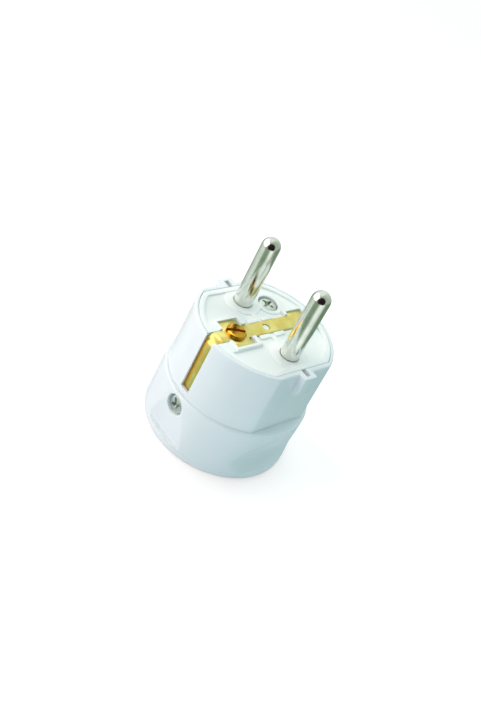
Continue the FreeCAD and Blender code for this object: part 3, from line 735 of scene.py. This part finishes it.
def carrier_profile(size, housing):
    floor = housing.height - size.recess
    inner = size.radius - size.rim_width
    top = housing.height
    points = [(0.0, housing.seat_height), (size.radius, housing.seat_height), (size.radius, top - RIM_EDGE)]
    points += ring_arc((size.radius - RIM_EDGE, top - RIM_EDGE), RIM_EDGE, 0, 90, EDGE_STEPS)[1:]
    points += ring_arc((inner + RIM_FILLET, top - RIM_FILLET), RIM_FILLET, 90, 180, EDGE_STEPS)
    points += ring_arc((inner - RIM_FILLET, floor + RIM_FILLET), RIM_FILLET, 360, 270, EDGE_STEPS)
    return points + [(0.0, floor)]


def strip_bands(spare):
    """Boxes of the strip's outline seen from the front, as half width, low Y and high Y."""
    metal = sizes("metal")
    return [
        (metal.strip_width / 2 + spare, *GUIDE_ROOM),
        (metal.near_head / 2 + spare, NEAR_HEAD[0] - spare, NEAR_ROOM_END),
        (metal.far_head / 2 + spare, FAR_HEAD[0] - spare, FAR_HEAD[1] + spare),
        (metal.arm_width / 2 + spare, -metal.arm_face - spare, metal.arm_face + spare),
    ]


def low_boss(radius, x, y, floor, top):
    """A low round boss on the face, with a soft top edge."""
    boss = upright(radius, x, y, floor - ROOT, top, RING_STEPS)
    round_edges(boss, [edge for edge in boss.edges if all(vert.co.z > floor for vert in edge.verts)], BOSS_EDGE)
    return boss


def face_walls(size, housing):
    """Raised walls, bosses and ribs on the carrier's face, with soft top edges."""
    metal = sizes("metal")
    top = housing.height - WALL_DROP
    wall_top = housing.height + size.head_wall_stand
    floor = housing.height - size.recess
    low = floor - ROOT
    boss_top = floor + size.boss_stand
    inner = metal.strip_width / 2 + size.fit
    tools = []
    for side in (-1, 1):
        x_low, x_high = sorted((side * inner, side * (inner + size.wall)))
        for start, end in GUIDE_WALLS:
            tools.append(block((x_low, start, low), (x_high, end, top), WALL_EDGE, True))
        x_low, x_high = sorted((side * inner, side * metal.pin_offset))
        tools.append(block((x_low, -RIB_HALF, low), (x_high, RIB_HALF, boss_top), BOSS_EDGE, True))
        tools.append(low_boss(size.boss_radius, side * metal.pin_offset, 0, floor, boss_top))
    tools.append(low_boss(size.screw_recess + size.wall, size.screw_x, size.screw_y, floor, boss_top))
    heads = ((metal.near_head, NEAR_PLINTH, NEAR_WALL), (metal.far_head, FAR_PLINTH, FAR_WALL))
    for width, plinth, wall in heads:
        half = width / 2 + size.fit + size.head_wall
        tools.append(block((-half, plinth[0], low), (half, plinth[1], top), PLINTH_EDGE, True))
        tools.append(block((-half, wall[0], low), (half, wall[1], wall_top), HEAD_EDGE, True))
    return tools


def carrier_back(housing):
    """Legs, terminal chambers and the fixed half of the cord grip behind the face."""
    metal = sizes("metal")
    seat = housing.seat_height + ROOT
    chamber_low = housing.seat_height - CHAMBER_REACH
    tools = []
    for side in (-1, 1):
        x = side * metal.pin_offset
        tools.append(block((x - CHAMBER_WALL, -CHAMBER_WALL, chamber_low), (x + CHAMBER_WALL, CHAMBER_WALL, seat)))
    tools.append(block((-LEG_HALF, -LEG_FACE, LEG_FOOT), (LEG_HALF, -LEG_BACK, seat)))
    tools.append(block((-LEG_HALF, LEG_BACK, FAR_LEG_FOOT), (LEG_HALF, LEG_FACE, seat)))
    for half, ends in ((GRIP_HALF, GRIP_ENDS), (LEG_HALF, BRIDGE_ENDS)):
        tools.append(block((-half, ends[0], LEG_FOOT), (half, ends[1], GRIP_LEVEL)))
    tools += both_sides(block((-STAY_HALF, -STAY_FACE, metal.arm_end), (STAY_HALF, -STAY_BACK, seat)))
    return tools


def pin_room(size, housing, side):
    """Room for one pin, the groove at its foot, its terminal end and one screw of the cord grip."""
    metal = sizes("metal")
    seat = housing.seat_height
    top = housing.height + OVERCUT
    floor = housing.height - size.recess
    groove = floor + size.boss_stand - size.pin_gap_depth
    chamber_low = seat - CHAMBER_DEPTH
    x = side * metal.pin_offset
    start, end = ((side * CLAMP_SCREW_X, y, CORD_LEVEL) for y in CLAMP_SCREW_ENDS)
    return [
        upright(metal.shank_radius, x, 0, seat - UNDERCUT, floor - metal.shank_cover, RING_STEPS),
        upright(metal.neck_radius, x, 0, seat, top, RING_STEPS),
        upright(metal.pin_radius + size.pin_gap, x, 0, groove, top, RING_STEPS),
        block((x - CHAMBER_HALF, -CHAMBER_HALF, chamber_low), (x + CHAMBER_HALF, CHAMBER_HALF, seat)),
        block((x - DRIVER_HALF, -DRIVER_REACH, chamber_low), (x + DRIVER_HALF, 0.0, DRIVER_TOP)),
        rod(CLAMP_SCREW_HOLE, start, end, CLAMP_STEPS),
    ]


def face_screw_pocket(size, housing):
    """The face screw's recess, with a bevel at the top of its boss."""
    low = housing.height - size.screw_depth
    top = housing.height + OVERCUT
    boss_top = housing.height - size.recess + size.boss_stand
    wide = size.screw_recess + POCKET_BEVEL
    pocket = spun([(0.0, low), (size.screw_recess, low), (size.screw_recess, boss_top - POCKET_BEVEL / 2),
                   (wide, boss_top + POCKET_BEVEL / 2), (wide, top), (0.0, top)], SMALL_STEPS, False)
    bmesh.ops.translate(pocket, vec=(size.screw_x, size.screw_y, 0), verts=pocket.verts)
    return pocket


def carrier_cuts(size, housing):
    """Room for the strip, the pins, the screws, the side nut and the cord."""
    metal = sizes("metal")
    top = housing.height + OVERCUT
    seat = housing.seat_height
    strip_low = housing.height - metal.strip_thickness
    cuts = [block((-half, low, strip_low), (half, high, top)) for half, low, high in strip_bands(size.fit)]
    half = metal.arm_width / 2 + size.fit
    arm_back = metal.arm_face - metal.strip_thickness
    bend = metal.strip_bend + size.fit
    notch = block((-half, -FOLD_OUT, seat - UNDERCUT), (half, size.fit - arm_back, top))
    half += HAIR
    fold = block((-half, -FOLD_OUT, strip_low - bend), (half, bend - arm_back, top))
    cuts += both_sides(notch) + both_sides(fold)
    for side in (-1, 1):
        cuts += pin_room(size, housing, side)
    cuts.append(face_screw_pocket(size, housing))
    cuts.append(upright(FACE_SCREW_HOLE, size.screw_x, size.screw_y, seat - OVERCUT, top, HOLE_STEPS))
    cuts.append(upright(EARTH_SCREW_HOLE, 0, metal.earth_y, seat - OVERCUT, top, HOLE_STEPS))
    cuts.append(upright(CORD_CHANNEL, 0, 0, *CORD_ENDS, CORD_STEPS))
    level = metal.side_screw_z
    cuts.append(block((-NUT_HALF, NUT_POCKET[0], level - NUT_HALF), (NUT_HALF, NUT_POCKET[1], level + NUT_HALF)))
    cuts.append(rod(SIDE_HOLE, (0, LEG_HOLE[0], level), (0, LEG_HOLE[1], level), HOLE_STEPS))
    return cuts


def locating_peg(housing, metal):
    """The peg that stands in the strip's middle hole."""
    low = housing.height - metal.strip_thickness - SHORT_ROOT
    shoulder = housing.height - PEG_DROP
    profile = [(0.0, low), (PEG_RADIUS, low), (PEG_RADIUS, shoulder)]
    profile += ring_arc((PEG_RADIUS - PEG_EDGE, shoulder), PEG_EDGE, 0, 90, EDGE_STEPS)[1:]
    return spun(profile + [(0.0, shoulder + PEG_EDGE)], PEG_STEPS, False)


def make_carrier():
    size = sizes("face")
    housing = sizes("housing")
    disc = spun(carrier_profile(size, housing), SPIN_STEPS, False)
    cut = size.radius - size.flat
    for vert in disc.verts:
        radius = math.hypot(vert.co.x, vert.co.y)
        if radius > size.radius - size.rim_width - RIM_MARGIN:
            limit_axis(vert, X, radius - cut, SEAT_SOFT)
    piece = as_object(disc, "carrier_insert")
    carve(piece, face_walls(size, housing) + carrier_back(housing), "UNION")
    carve(piece, carrier_cuts(size, housing), "DIFFERENCE")
    carve(piece, [locating_peg(housing, sizes("metal"))], "UNION")
    finish_piece(piece, carrier_white(), "pin_carrier")


# Pins

PIN_RINGS, DOME_STEPS = 0.002, 24
TERMINAL_HALF, TERMINAL_END, TERMINAL_EDGE = 0.0029, 0.019, 0.0002
WIRE_HOLE, WIRE_HOLE_ENDS = 0.0014, (0.018, 0.025)
CLAMP_HOLE, CLAMP_HOLE_ENDS, CLAMP_LEVEL = 0.0015, (-0.004, -0.0002), 0.022


def make_pin(name, node, x):
    metal = sizes("metal")
    housing = sizes("housing")
    face = sizes("face")
    low = housing.seat_height - SHORT_ROOT
    shoulder = housing.height - face.recess - metal.shank_cover
    foot = housing.height - face.recess + face.boss_stand
    dome = housing.height + metal.pin_reach - metal.pin_radius
    profile = [(0.0, low), (metal.shank_radius, low), (metal.shank_radius, shoulder), (metal.neck_radius, shoulder)]
    profile += [(metal.neck_radius, foot), (metal.pin_radius, foot)]
    profile += [(metal.pin_radius, height) for height in steps_between(foot, dome, PIN_RINGS)]
    profile += ring_arc((0.0, dome), metal.pin_radius, 0, 90, DOME_STEPS)[1:]
    shank = spun(profile, PIN_STEPS, False)
    bmesh.ops.translate(shank, vec=(x, 0, 0), verts=shank.verts)
    piece = as_object(shank, name)
    end = block((x - TERMINAL_HALF, -TERMINAL_HALF, TERMINAL_END),
                (x + TERMINAL_HALF, TERMINAL_HALF, housing.seat_height), TERMINAL_EDGE)
    carve(piece, [end], "UNION")
    wire_hole = upright(WIRE_HOLE, x, 0, *WIRE_HOLE_ENDS, HOLE_STEPS)
    start, stop = ((x, y, CLAMP_LEVEL) for y in CLAMP_HOLE_ENDS)
    carve(piece, [wire_hole, rod(CLAMP_HOLE, start, stop, HOLE_STEPS)], "DIFFERENCE")
    finish_piece(piece, pin_nickel(), node)


# Earth strip

CORNER_REACH = 0.0145       # the blank's corners are rounded this far along, and the arms' ends stay square
CORNER_ROUND, BORDER_ROUND, BORDER_STEPS = 0.0003, 0.0001, 2
SQUARE_ANGLE = 1.0          # radians above which an edge is a border
PEG_HOLE = 0.001
HOLE_BELOW = 0.002
FOLD_STEPS, ARM_STEPS = 14, 6


def strip_outline():
    """Corners of the flat blank, where its folds start, their middle radius and the arms' straight length."""
    metal = sizes("metal")
    bend = metal.strip_bend + metal.strip_thickness
    fold = metal.arm_face - bend
    middle = metal.strip_bend + metal.strip_thickness / 2
    drop = sizes("housing").height - metal.arm_end - bend
    tip = fold + math.pi / 2 * middle + drop
    arm = metal.arm_width / 2
    half = metal.strip_width / 2
    near = metal.near_head / 2
    far = metal.far_head / 2
    right = [(arm, -tip), (arm, NEAR_HEAD[0]), (near, NEAR_HEAD[0]), (near, NEAR_HEAD[1]), (half, NEAR_HEAD[1]),
             (half, FAR_HEAD[0]), (far, FAR_HEAD[0]), (far, FAR_HEAD[1]), (arm, FAR_HEAD[1]), (arm, tip)]
    return right + [(-x, y) for x, y in reversed(right)], fold, middle, drop


def fold_point(co, fold, middle, thickness, top):
    """Moves a point of the flat blank to where it lands once both arms are folded down."""
    side = math.copysign(1.0, co.y)
    along = abs(co.y) - fold
    if along <= 0:
        return
    inset = top - co.z - thickness / 2
    radius = middle - inset
    quarter = math.pi / 2 * middle
    y, z = fold, top - thickness / 2 - middle
    if along < quarter:
        angle = along / middle
        co.y, co.z = side * (y + radius * math.sin(angle)), z + radius * math.cos(angle)
        return
    co.y, co.z = side * (y + radius), z - (along - quarter)


def rise(edge):
    return abs(edge.verts[0].co.z - edge.verts[1].co.z)


def strip_blank(outline, low, thickness):
    """The flat blank with its rounded corners and borders."""
    bm = plate([(x, y, low) for x, y in outline], (0, 0, thickness))
    corners = [edge for edge in bm.edges
               if rise(edge) > thickness / 2 and abs(edge.verts[0].co.y) < CORNER_REACH]
    round_edges(bm, corners, CORNER_ROUND)
    borders = [edge for edge in bm.edges
               if rise(edge) < SAME_PLACE and len(edge.link_faces) == 2
               and abs(edge.calc_face_angle(0.0)) > SQUARE_ANGLE]
    round_edges(bm, borders, BORDER_ROUND, BORDER_STEPS)
    return bm


def make_strip():
    metal = sizes("metal")
    top = sizes("housing").height
    thickness = metal.strip_thickness
    outline, fold, middle, drop = strip_outline()
    piece = as_object(strip_blank(outline, top - thickness, thickness), "earth_strip_folded")
    holes = [upright(radius, 0, y, top - HOLE_BELOW, top + OVERCUT, HOLE_STEPS)
             for radius, y in ((EARTH_SCREW_HOLE, metal.earth_y), (PEG_HOLE, 0))]
    carve(piece, holes, "DIFFERENCE")
    bm = bmesh.new()
    bm.from_mesh(piece.data)
    quarter = math.pi / 2 * middle
    for side in (-1, 1):
        for start, span, steps in ((fold, quarter, FOLD_STEPS), (fold + quarter, drop, ARM_STEPS)):
            for step in range(steps):
                line = (0, side * (start + span * step / steps), 0)
                bmesh.ops.bisect_plane(bm, geom=bm.verts[:] + bm.edges[:] + bm.faces[:],
                                       plane_co=line, plane_no=(0, 1, 0))
    for vert in bm.verts:
        fold_point(vert.co, fold, middle, thickness, top)
    bm.to_mesh(piece.data)
    bm.free()
    finish_piece(piece, strip_brass(), "earth_strip")


# Screws

TIP_SHARE, TIP_REACH = 0.7, 0.4     # shares of the shank's radius
HEAD_BREAK = 0.00006
CROWN_ARC, CROWN_STEPS = 70, 6
CROSS_HEIGHT, CROSS_SHANK, CROSS_CROWN, CROSS_DOME = 0.0016, 0.00145, 0.00035, 0.00022
CROSS_REACH, CROSS_DEPTH = 0.86, 0.0010     # share of the head's radius, and length
WING_HALF, WING_OVERCUT = 0.00042, 0.0004
WING_TAPER = (0.55, 0.6)            # shares of the wings' length and width at their floor
POINT_TOP, POINT_END, POINT_DEPTH, POINT_STEPS = 0.52, 0.12, 1.25, 24
POINT_OVERCUT = 0.0002
SLOT_HEIGHT, SLOT_SHANK, SLOT_LENGTH, SLOT_CROWN, SLOT_DOME = 0.0011, 0.0017, 0.008, 0.0003, 0.00015
SLOT_LOW, SLOT_HIGH = (-0.004, -0.00045, 0.0003), (0.004, 0.00045, 0.003)
FACE_HEAD, FACE_LENGTH, SIDE_HEAD, SIDE_LENGTH = 0.00235, 0.012, 0.0024, 0.0062
EARTH_SPIN, FACE_SPIN, SIDE_SPIN = 65, 20, 35       # degrees by which the slot and the recesses are turned


def screw_body(head_radius, head_height, shank_radius, shank_length, crown, dome):
    """A screw standing on its tip, with the seat of its head at height zero."""
    profile = [(0.0, -shank_length), (shank_radius * TIP_SHARE, -shank_length)]
    profile += [(shank_radius, -shank_length + shank_radius * TIP_REACH), (shank_radius, 0.0)]
    profile += [(head_radius - HEAD_BREAK, 0.0), (head_radius, HEAD_BREAK)]
    profile += ring_arc((head_radius - crown, head_height - dome - crown), crown, 0, CROWN_ARC, CROWN_STEPS)
    radius, height = profile[-1]
    for step in range(1, CROWN_STEPS + 1):
        share = step / CROWN_STEPS
        profile.append((radius * (1 - share), height + (head_height - height) * (1 - (1 - share) ** 2)))
    return spun(profile, RING_STEPS, False)


def cross_recess(head_height, reach, depth):
    """Tapered wings and a pointed middle of a cross-shaped driver recess."""
    tools = []
    for angle in (0, math.pi / 2):
        wing = block((-reach, -WING_HALF, head_height - depth), (reach, WING_HALF, head_height + WING_OVERCUT))
        for vert in wing.verts:
            if vert.co.z < head_height:
                vert.co.x *= WING_TAPER[0]
                vert.co.y *= WING_TAPER[1]
        turn(wing, angle, "Z")
        tools.append(wing)
    tools.append(rod(reach * POINT_TOP, (0, 0, head_height + POINT_OVERCUT),
                     (0, 0, head_height - depth * POINT_DEPTH), POINT_STEPS, reach * POINT_END))
    return tools


def set_screw(piece, seat, direction, spin):
    """Turns a finished screw about its axis, points its head and moves it to its seat, in the mesh."""
    point = Vector((0, 0, 1)).rotation_difference(Vector(direction)).to_matrix().to_4x4()
    piece.data.transform(Matrix.Translation(seat) @ point @ Matrix.Rotation(math.radians(spin), 4, "Z"))


def make_crossed(name, node, head_radius, shank_length, seat, direction, spin):
    body = screw_body(head_radius, CROSS_HEIGHT, CROSS_SHANK, shank_length, CROSS_CROWN, CROSS_DOME)
    piece = as_object(body, name)
    carve(piece, cross_recess(CROSS_HEIGHT, head_radius * CROSS_REACH, CROSS_DEPTH), "DIFFERENCE")
    set_screw(piece, seat, direction, spin)
    finish_piece(piece, screw_zinc(), node)


def make_slotted(name, node, seat, spin):
    head = sizes("metal").earth_head
    piece = as_object(screw_body(head, SLOT_HEIGHT, SLOT_SHANK, SLOT_LENGTH, SLOT_CROWN, SLOT_DOME), name)
    carve(piece, [block(SLOT_LOW, SLOT_HIGH)], "DIFFERENCE")
    set_screw(piece, seat, (0, 0, 1), spin)
    finish_piece(piece, screw_brass(), node)


# Stage

FLOOR_DROP = 0.00002        # keeps the floor just under the plug
FLOOR_COLOUR = (0.76, 0.83, 0.85, 1.0)
NEAR_FLOOR_COLOUR = (0.48, 0.58, 0.62, 1.0)
CARDS_FROM, CARDS_FULL = 0.026, 0.044   # distance from the axis at which the mirrored cards set in
LENS_CARD = (0.27, (0.19, -0.185, 0.145), (0.1906, -0.1856, 0.1455))    # radius and both faces' middles
CARD_SCALE, CARD_DARK, CARD_LIGHT = 40.0, (0.012, 0.004, 0.004), (0.03, 0.010, 0.009)
LAMP_AIM = Vector((0, 0, 0.025))


def make_floor():
    stage = sizes("stage")
    bm = bmesh.new()
    bmesh.ops.create_grid(bm, x_segments=1, y_segments=1, size=stage.floor_size / 2)
    bmesh.ops.translate(bm, vec=(0, 0, -FLOOR_DROP), verts=bm.verts)
    floor = as_object(bm, "floor")
    material, tree, surface = shader("white_floor")
    tree.nodes.remove(surface)
    plain = tree.nodes.new("ShaderNodeBsdfDiffuse")
    plain.inputs["Color"].default_value = FLOOR_COLOUR
    glow = tree.nodes.new("ShaderNodeEmission")
    glow.inputs["Color"].default_value = (*stage.glow_tint, 1.0)
    tree.links.new(seen_rays(tree, stage.glow), glow.inputs["Strength"])
    seen = tree.nodes.new("ShaderNodeAddShader")
    tree.links.new(plain.outputs[0], seen.inputs[0])
    tree.links.new(glow.outputs[0], seen.inputs[1])
    path = tree.nodes.new("ShaderNodeLightPath")
    paper = paper_edge(tree, seen.outputs[0], stage.paper_reach)
    choice = mixed(tree, path.outputs["Is Glossy Ray"], paper, mirrored_floor(tree))
    tree.links.new(choice, tree.nodes["Material Output"].inputs["Surface"])
    floor.data.materials.append(material)


def outward(tree, near, far):
    """Nothing within the near distance of the plug, rising to one at the far distance."""
    place = tree.nodes.new("ShaderNodeTexCoord")
    away = tree.nodes.new("ShaderNodeVectorMath")
    away.operation = "LENGTH"
    tree.links.new(place.outputs["Object"], away.inputs[0])
    return between(tree, away.outputs["Value"], near, far)


def mixed(tree, factor, first, second):
    node = tree.nodes.new("ShaderNodeMixShader")
    tree.links.new(factor, node.inputs[0])
    tree.links.new(first, node.inputs[1])
    tree.links.new(second, node.inputs[2])
    return node.outputs[0]


def paper_edge(tree, near, reach):
    """The lit floor near the plug, fading into plain white paper further out for rays that see it."""
    shown = product(tree, outward(tree, reach / 2, reach), seen_rays(tree, 1.0))
    white = tree.nodes.new("ShaderNodeEmission")
    return mixed(tree, shown, near, white.outputs[0])


def mirrored_floor(tree):
    """What glossy surfaces see of the floor: plain close to the plug, then the cards all round."""
    close = tree.nodes.new("ShaderNodeEmission")
    close.inputs["Color"].default_value = NEAR_FLOOR_COLOUR
    cards = tree.nodes.new("ShaderNodeEmission")
    tree.links.new(all_round(tree, FLOOR_CARDS), cards.inputs["Color"])
    return mixed(tree, outward(tree, CARDS_FROM, CARDS_FULL), close.outputs[0], cards.outputs[0])


def seen_rays(tree, amount):
    """The amount for rays that come from the camera or through glass, and nothing for the rest."""
    path = tree.nodes.new("ShaderNodeLightPath")
    either = tree.nodes.new("ShaderNodeMath")
    either.operation = "MAXIMUM"
    tree.links.new(path.outputs["Is Camera Ray"], either.inputs[0])
    tree.links.new(path.outputs["Is Transmission Ray"], either.inputs[1])
    lift = tree.nodes.new("ShaderNodeMath")
    lift.operation = "MULTIPLY"
    lift.inputs[1].default_value = amount
    tree.links.new(either.outputs[0], lift.inputs[0])
    return lift.outputs[0]


def all_round(tree, stops):
    """Colour by the direction round the plug."""
    place = tree.nodes.new("ShaderNodeTexCoord")
    around = tree.nodes.new("ShaderNodeTexGradient")
    around.gradient_type = "RADIAL"
    tree.links.new(place.outputs["Object"], around.inputs["Vector"])
    cards = tree.nodes.new("ShaderNodeValToRGB")
    cards.color_ramp.interpolation = "EASE"
    while len(cards.color_ramp.elements) < len(stops):
        cards.color_ramp.elements.new(0.5)
    for stop, (angle, shade) in zip(cards.color_ramp.elements, stops):
        stop.position = (angle + 180.0) / 360.0
        stop.color = (*shade, 1.0)
    tree.links.new(around.outputs["Fac"], cards.inputs["Fac"])
    return cards.outputs["Color"]


def make_sky():
    """Cool light from all round, a room that only reflections show, and white for the camera."""
    stage = sizes("stage")
    world = bpy.data.worlds.new("studio")
    world.use_nodes = True
    tree = world.node_tree
    light = tree.nodes["Background"]
    light.inputs["Color"].default_value = (*stage.sky_tint, 1.0)
    light.inputs["Strength"].default_value = stage.sky
    room = tree.nodes.new("ShaderNodeBackground")
    tree.links.new(all_round(tree, ROOM_WALLS), room.inputs["Color"])
    room.inputs["Strength"].default_value = stage.mirror
    path = tree.nodes.new("ShaderNodeLightPath")
    choice = mixed(tree, path.outputs["Is Glossy Ray"], light.outputs[0], room.outputs[0])
    white = tree.nodes.new("ShaderNodeBackground")
    white.inputs["Color"].default_value = (1.0, 1.0, 1.0, 1.0)
    backdrop = mixed(tree, seen_rays(tree, 1.0), choice, white.outputs[0])
    tree.links.new(backdrop, tree.nodes["World Output"].inputs["Surface"])
    bpy.context.scene.world = world


def make_lens_card():
    """Dark card round the lens, which only reflections show."""
    card = as_object(rod(*LENS_CARD, HOLE_STEPS), "lens_card")
    material, tree, surface = shader("dark_card")
    shades = ramp(tree, noise(tree, CARD_SCALE, 2.0), CARD_DARK, CARD_LIGHT)
    tree.links.new(shades, surface.inputs["Base Color"])
    surface.inputs["Roughness"].default_value = 0.9
    surface.inputs["Specular IOR Level"].default_value = 0.0
    card.data.materials.append(material)
    card.visible_camera = False
    card.visible_diffuse = False
    card.visible_shadow = False


def area_light(name, place, size, watts, tint, mirrored):
    """A rectangular lamp aimed at the plug, which reflections show if it is mirrored."""
    lamp = bpy.data.lights.new(name, "AREA")
    lamp.shape = "RECTANGLE"
    lamp.size, lamp.size_y = size
    lamp.energy = watts
    lamp.color = tint
    holder = bpy.data.objects.new(name, lamp)
    holder.location = place
    holder.visible_glossy = mirrored
    holder.rotation_euler = (LAMP_AIM - Vector(place)).to_track_quat("-Z", "Y").to_euler()
    bpy.context.scene.collection.objects.link(holder)
    return holder


def make_lights():
    """The lamps, of which the crease light reaches only the strip and its screw."""
    stage = sizes("stage")
    area_light("key_light", place=(-0.42, -0.38, 0.26), size=(0.85, 0.7),
               watts=stage.key_power, tint=stage.key_tint, mirrored=True)
    area_light("top_light", place=(-0.10, 0.20, 0.45), size=(0.4, 0.3),
               watts=stage.top_power, tint=stage.top_tint, mirrored=False)
    area_light("front_light", place=(0.16, -0.46, 0.14), size=(0.3, 0.3),
               watts=stage.front_power, tint=stage.front_tint, mirrored=False)
    crease = area_light("crease_light", place=(-0.22, 0.14, 0.45), size=(0.16, 0.1),
                        watts=stage.crease_power, tint=stage.key_tint, mirrored=True)
    crease.visible_diffuse = False
    brass = bpy.data.collections.new("crease_brass")
    for name in ("earth_strip_folded", "earth_screw_slotted"):
        brass.objects.link(bpy.data.objects[name])
    crease.light_linking.receiver_collection = brass


def make_camera():
    stage = sizes("stage")
    lens = bpy.data.cameras.new("camera")
    lens.sensor_width = 36.0
    lens.lens = stage.focal_length
    lens.clip_start = 0.005
    camera = bpy.data.objects.new("camera", lens)
    camera.location = stage.camera_place
    camera.rotation_euler = Euler(stage.camera_turn)
    bpy.context.scene.collection.objects.link(camera)
    bpy.context.scene.camera = camera


# Operators

class PLUG_OT_housing(bpy.types.Operator):
    """Make the moulded housing with its flats, ribs, slots and grips"""
    bl_idname = "plug.housing"
    bl_label = "Housing"

    def execute(self, context):
        make_housing()
        return {"FINISHED"}


class PLUG_OT_carrier(bpy.types.Operator):
    """Make the carrier with its raised rim, walls and bosses"""
    bl_idname = "plug.carrier"
    bl_label = "Pin carrier"

    def execute(self, context):
        make_carrier()
        return {"FINISHED"}


class PLUG_OT_pins(bpy.types.Operator):
    """Make both plated pins with their terminal ends"""
    bl_idname = "plug.pins"
    bl_label = "Pins"

    def execute(self, context):
        offset = sizes("metal").pin_offset
        make_pin("line_pin_plated", "line_pin", offset)
        make_pin("neutral_pin_plated", "neutral_pin", -offset)
        return {"FINISHED"}


class PLUG_OT_strip(bpy.types.Operator):
    """Make the folded brass earth strip"""
    bl_idname = "plug.strip"
    bl_label = "Earth strip"

    def execute(self, context):
        make_strip()
        return {"FINISHED"}


class PLUG_OT_screws(bpy.types.Operator):
    """Make the earth screw, the face screw and the side screw"""
    bl_idname = "plug.screws"
    bl_label = "Visible screws"

    def execute(self, context):
        metal = sizes("metal")
        face = sizes("face")
        height = sizes("housing").height
        make_slotted("earth_screw_slotted", "earth_screw", (0, metal.earth_y, height), EARTH_SPIN)
        seat = (face.screw_x, face.screw_y, height - face.screw_depth)
        make_crossed("face_screw_crossed", "carrier_screw", FACE_HEAD, FACE_LENGTH, seat, (0, 0, 1), FACE_SPIN)
        seat = (0, -metal.side_seat, metal.side_screw_z)
        make_crossed("side_screw_crossed", "side_screw", SIDE_HEAD, SIDE_LENGTH, seat, (0, -1, 0), SIDE_SPIN)
        return {"FINISHED"}


class PLUG_OT_inside(bpy.types.Operator):
    """Give the pieces inside the housing their materials"""
    bl_idname = "plug.inside"
    bl_label = "Inner pieces"

    def execute(self, context):
        dressing = {
            "terminal_screws": screw_zinc(),
            "side_nut": screw_zinc(),
            "clamp_screws": screw_zinc(),
            "earth_terminal": strip_brass(),
            "clamp_bar": carrier_white(),
        }
        for node, material in dressing.items():
            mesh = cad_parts[node].data
            mesh.materials.clear()
            mesh.materials.append(material)
        return {"FINISHED"}


class PLUG_OT_stage(bpy.types.Operator):
    """Make the floor, the lights and the camera"""
    bl_idname = "plug.stage"
    bl_label = "Stage"

    def execute(self, context):
        make_floor()
        make_sky()
        make_lens_card()
        make_lights()
        make_camera()
        return {"FINISHED"}


OPERATORS = (PLUG_OT_housing, PLUG_OT_carrier, PLUG_OT_pins, PLUG_OT_strip, PLUG_OT_screws,
             PLUG_OT_inside, PLUG_OT_stage)
GROUPS = {"housing": PlugHousingSizes, "face": PlugFaceSizes, "metal": PlugMetalSizes,
          "colours": PlugColours, "stage": PlugStage}


class PLUG_PT_panel(bpy.types.Panel):
    """Lists the plug's sizes, colours and pieces"""
    bl_label = "Type F Plug"
    bl_idname = "PLUG_PT_panel"
    bl_space_type = "VIEW_3D"
    bl_region_type = "UI"
    bl_category = "Plug"

    def draw(self, context):
        for operator in OPERATORS:
            self.layout.operator(operator.bl_idname)
        for group in GROUPS:
            box = self.layout.box()
            box.label(text=group.capitalize())
            settings = sizes(group)
            for name in settings.__annotations__:
                box.prop(settings, name)


CLASSES = tuple(GROUPS.values()) + OPERATORS + (PLUG_PT_panel,)


def register():
    for entry in CLASSES:
        bpy.utils.register_class(entry)
    for name, group in GROUPS.items():
        setattr(bpy.types.Scene, "plug_" + name, PointerProperty(type=group))


def unregister():
    for name in GROUPS:
        delattr(bpy.types.Scene, "plug_" + name)
    for entry in reversed(CLASSES):
        bpy.utils.unregister_class(entry)


def main():
    register()
    bpy.context.scene.view_settings.view_transform = "Standard"
    bpy.ops.plug.housing()
    bpy.ops.plug.carrier()
    bpy.ops.plug.pins()
    bpy.ops.plug.strip()
    bpy.ops.plug.screws()
    bpy.ops.plug.inside()
    bpy.ops.plug.stage()


if __name__ == "__main__":
    main()
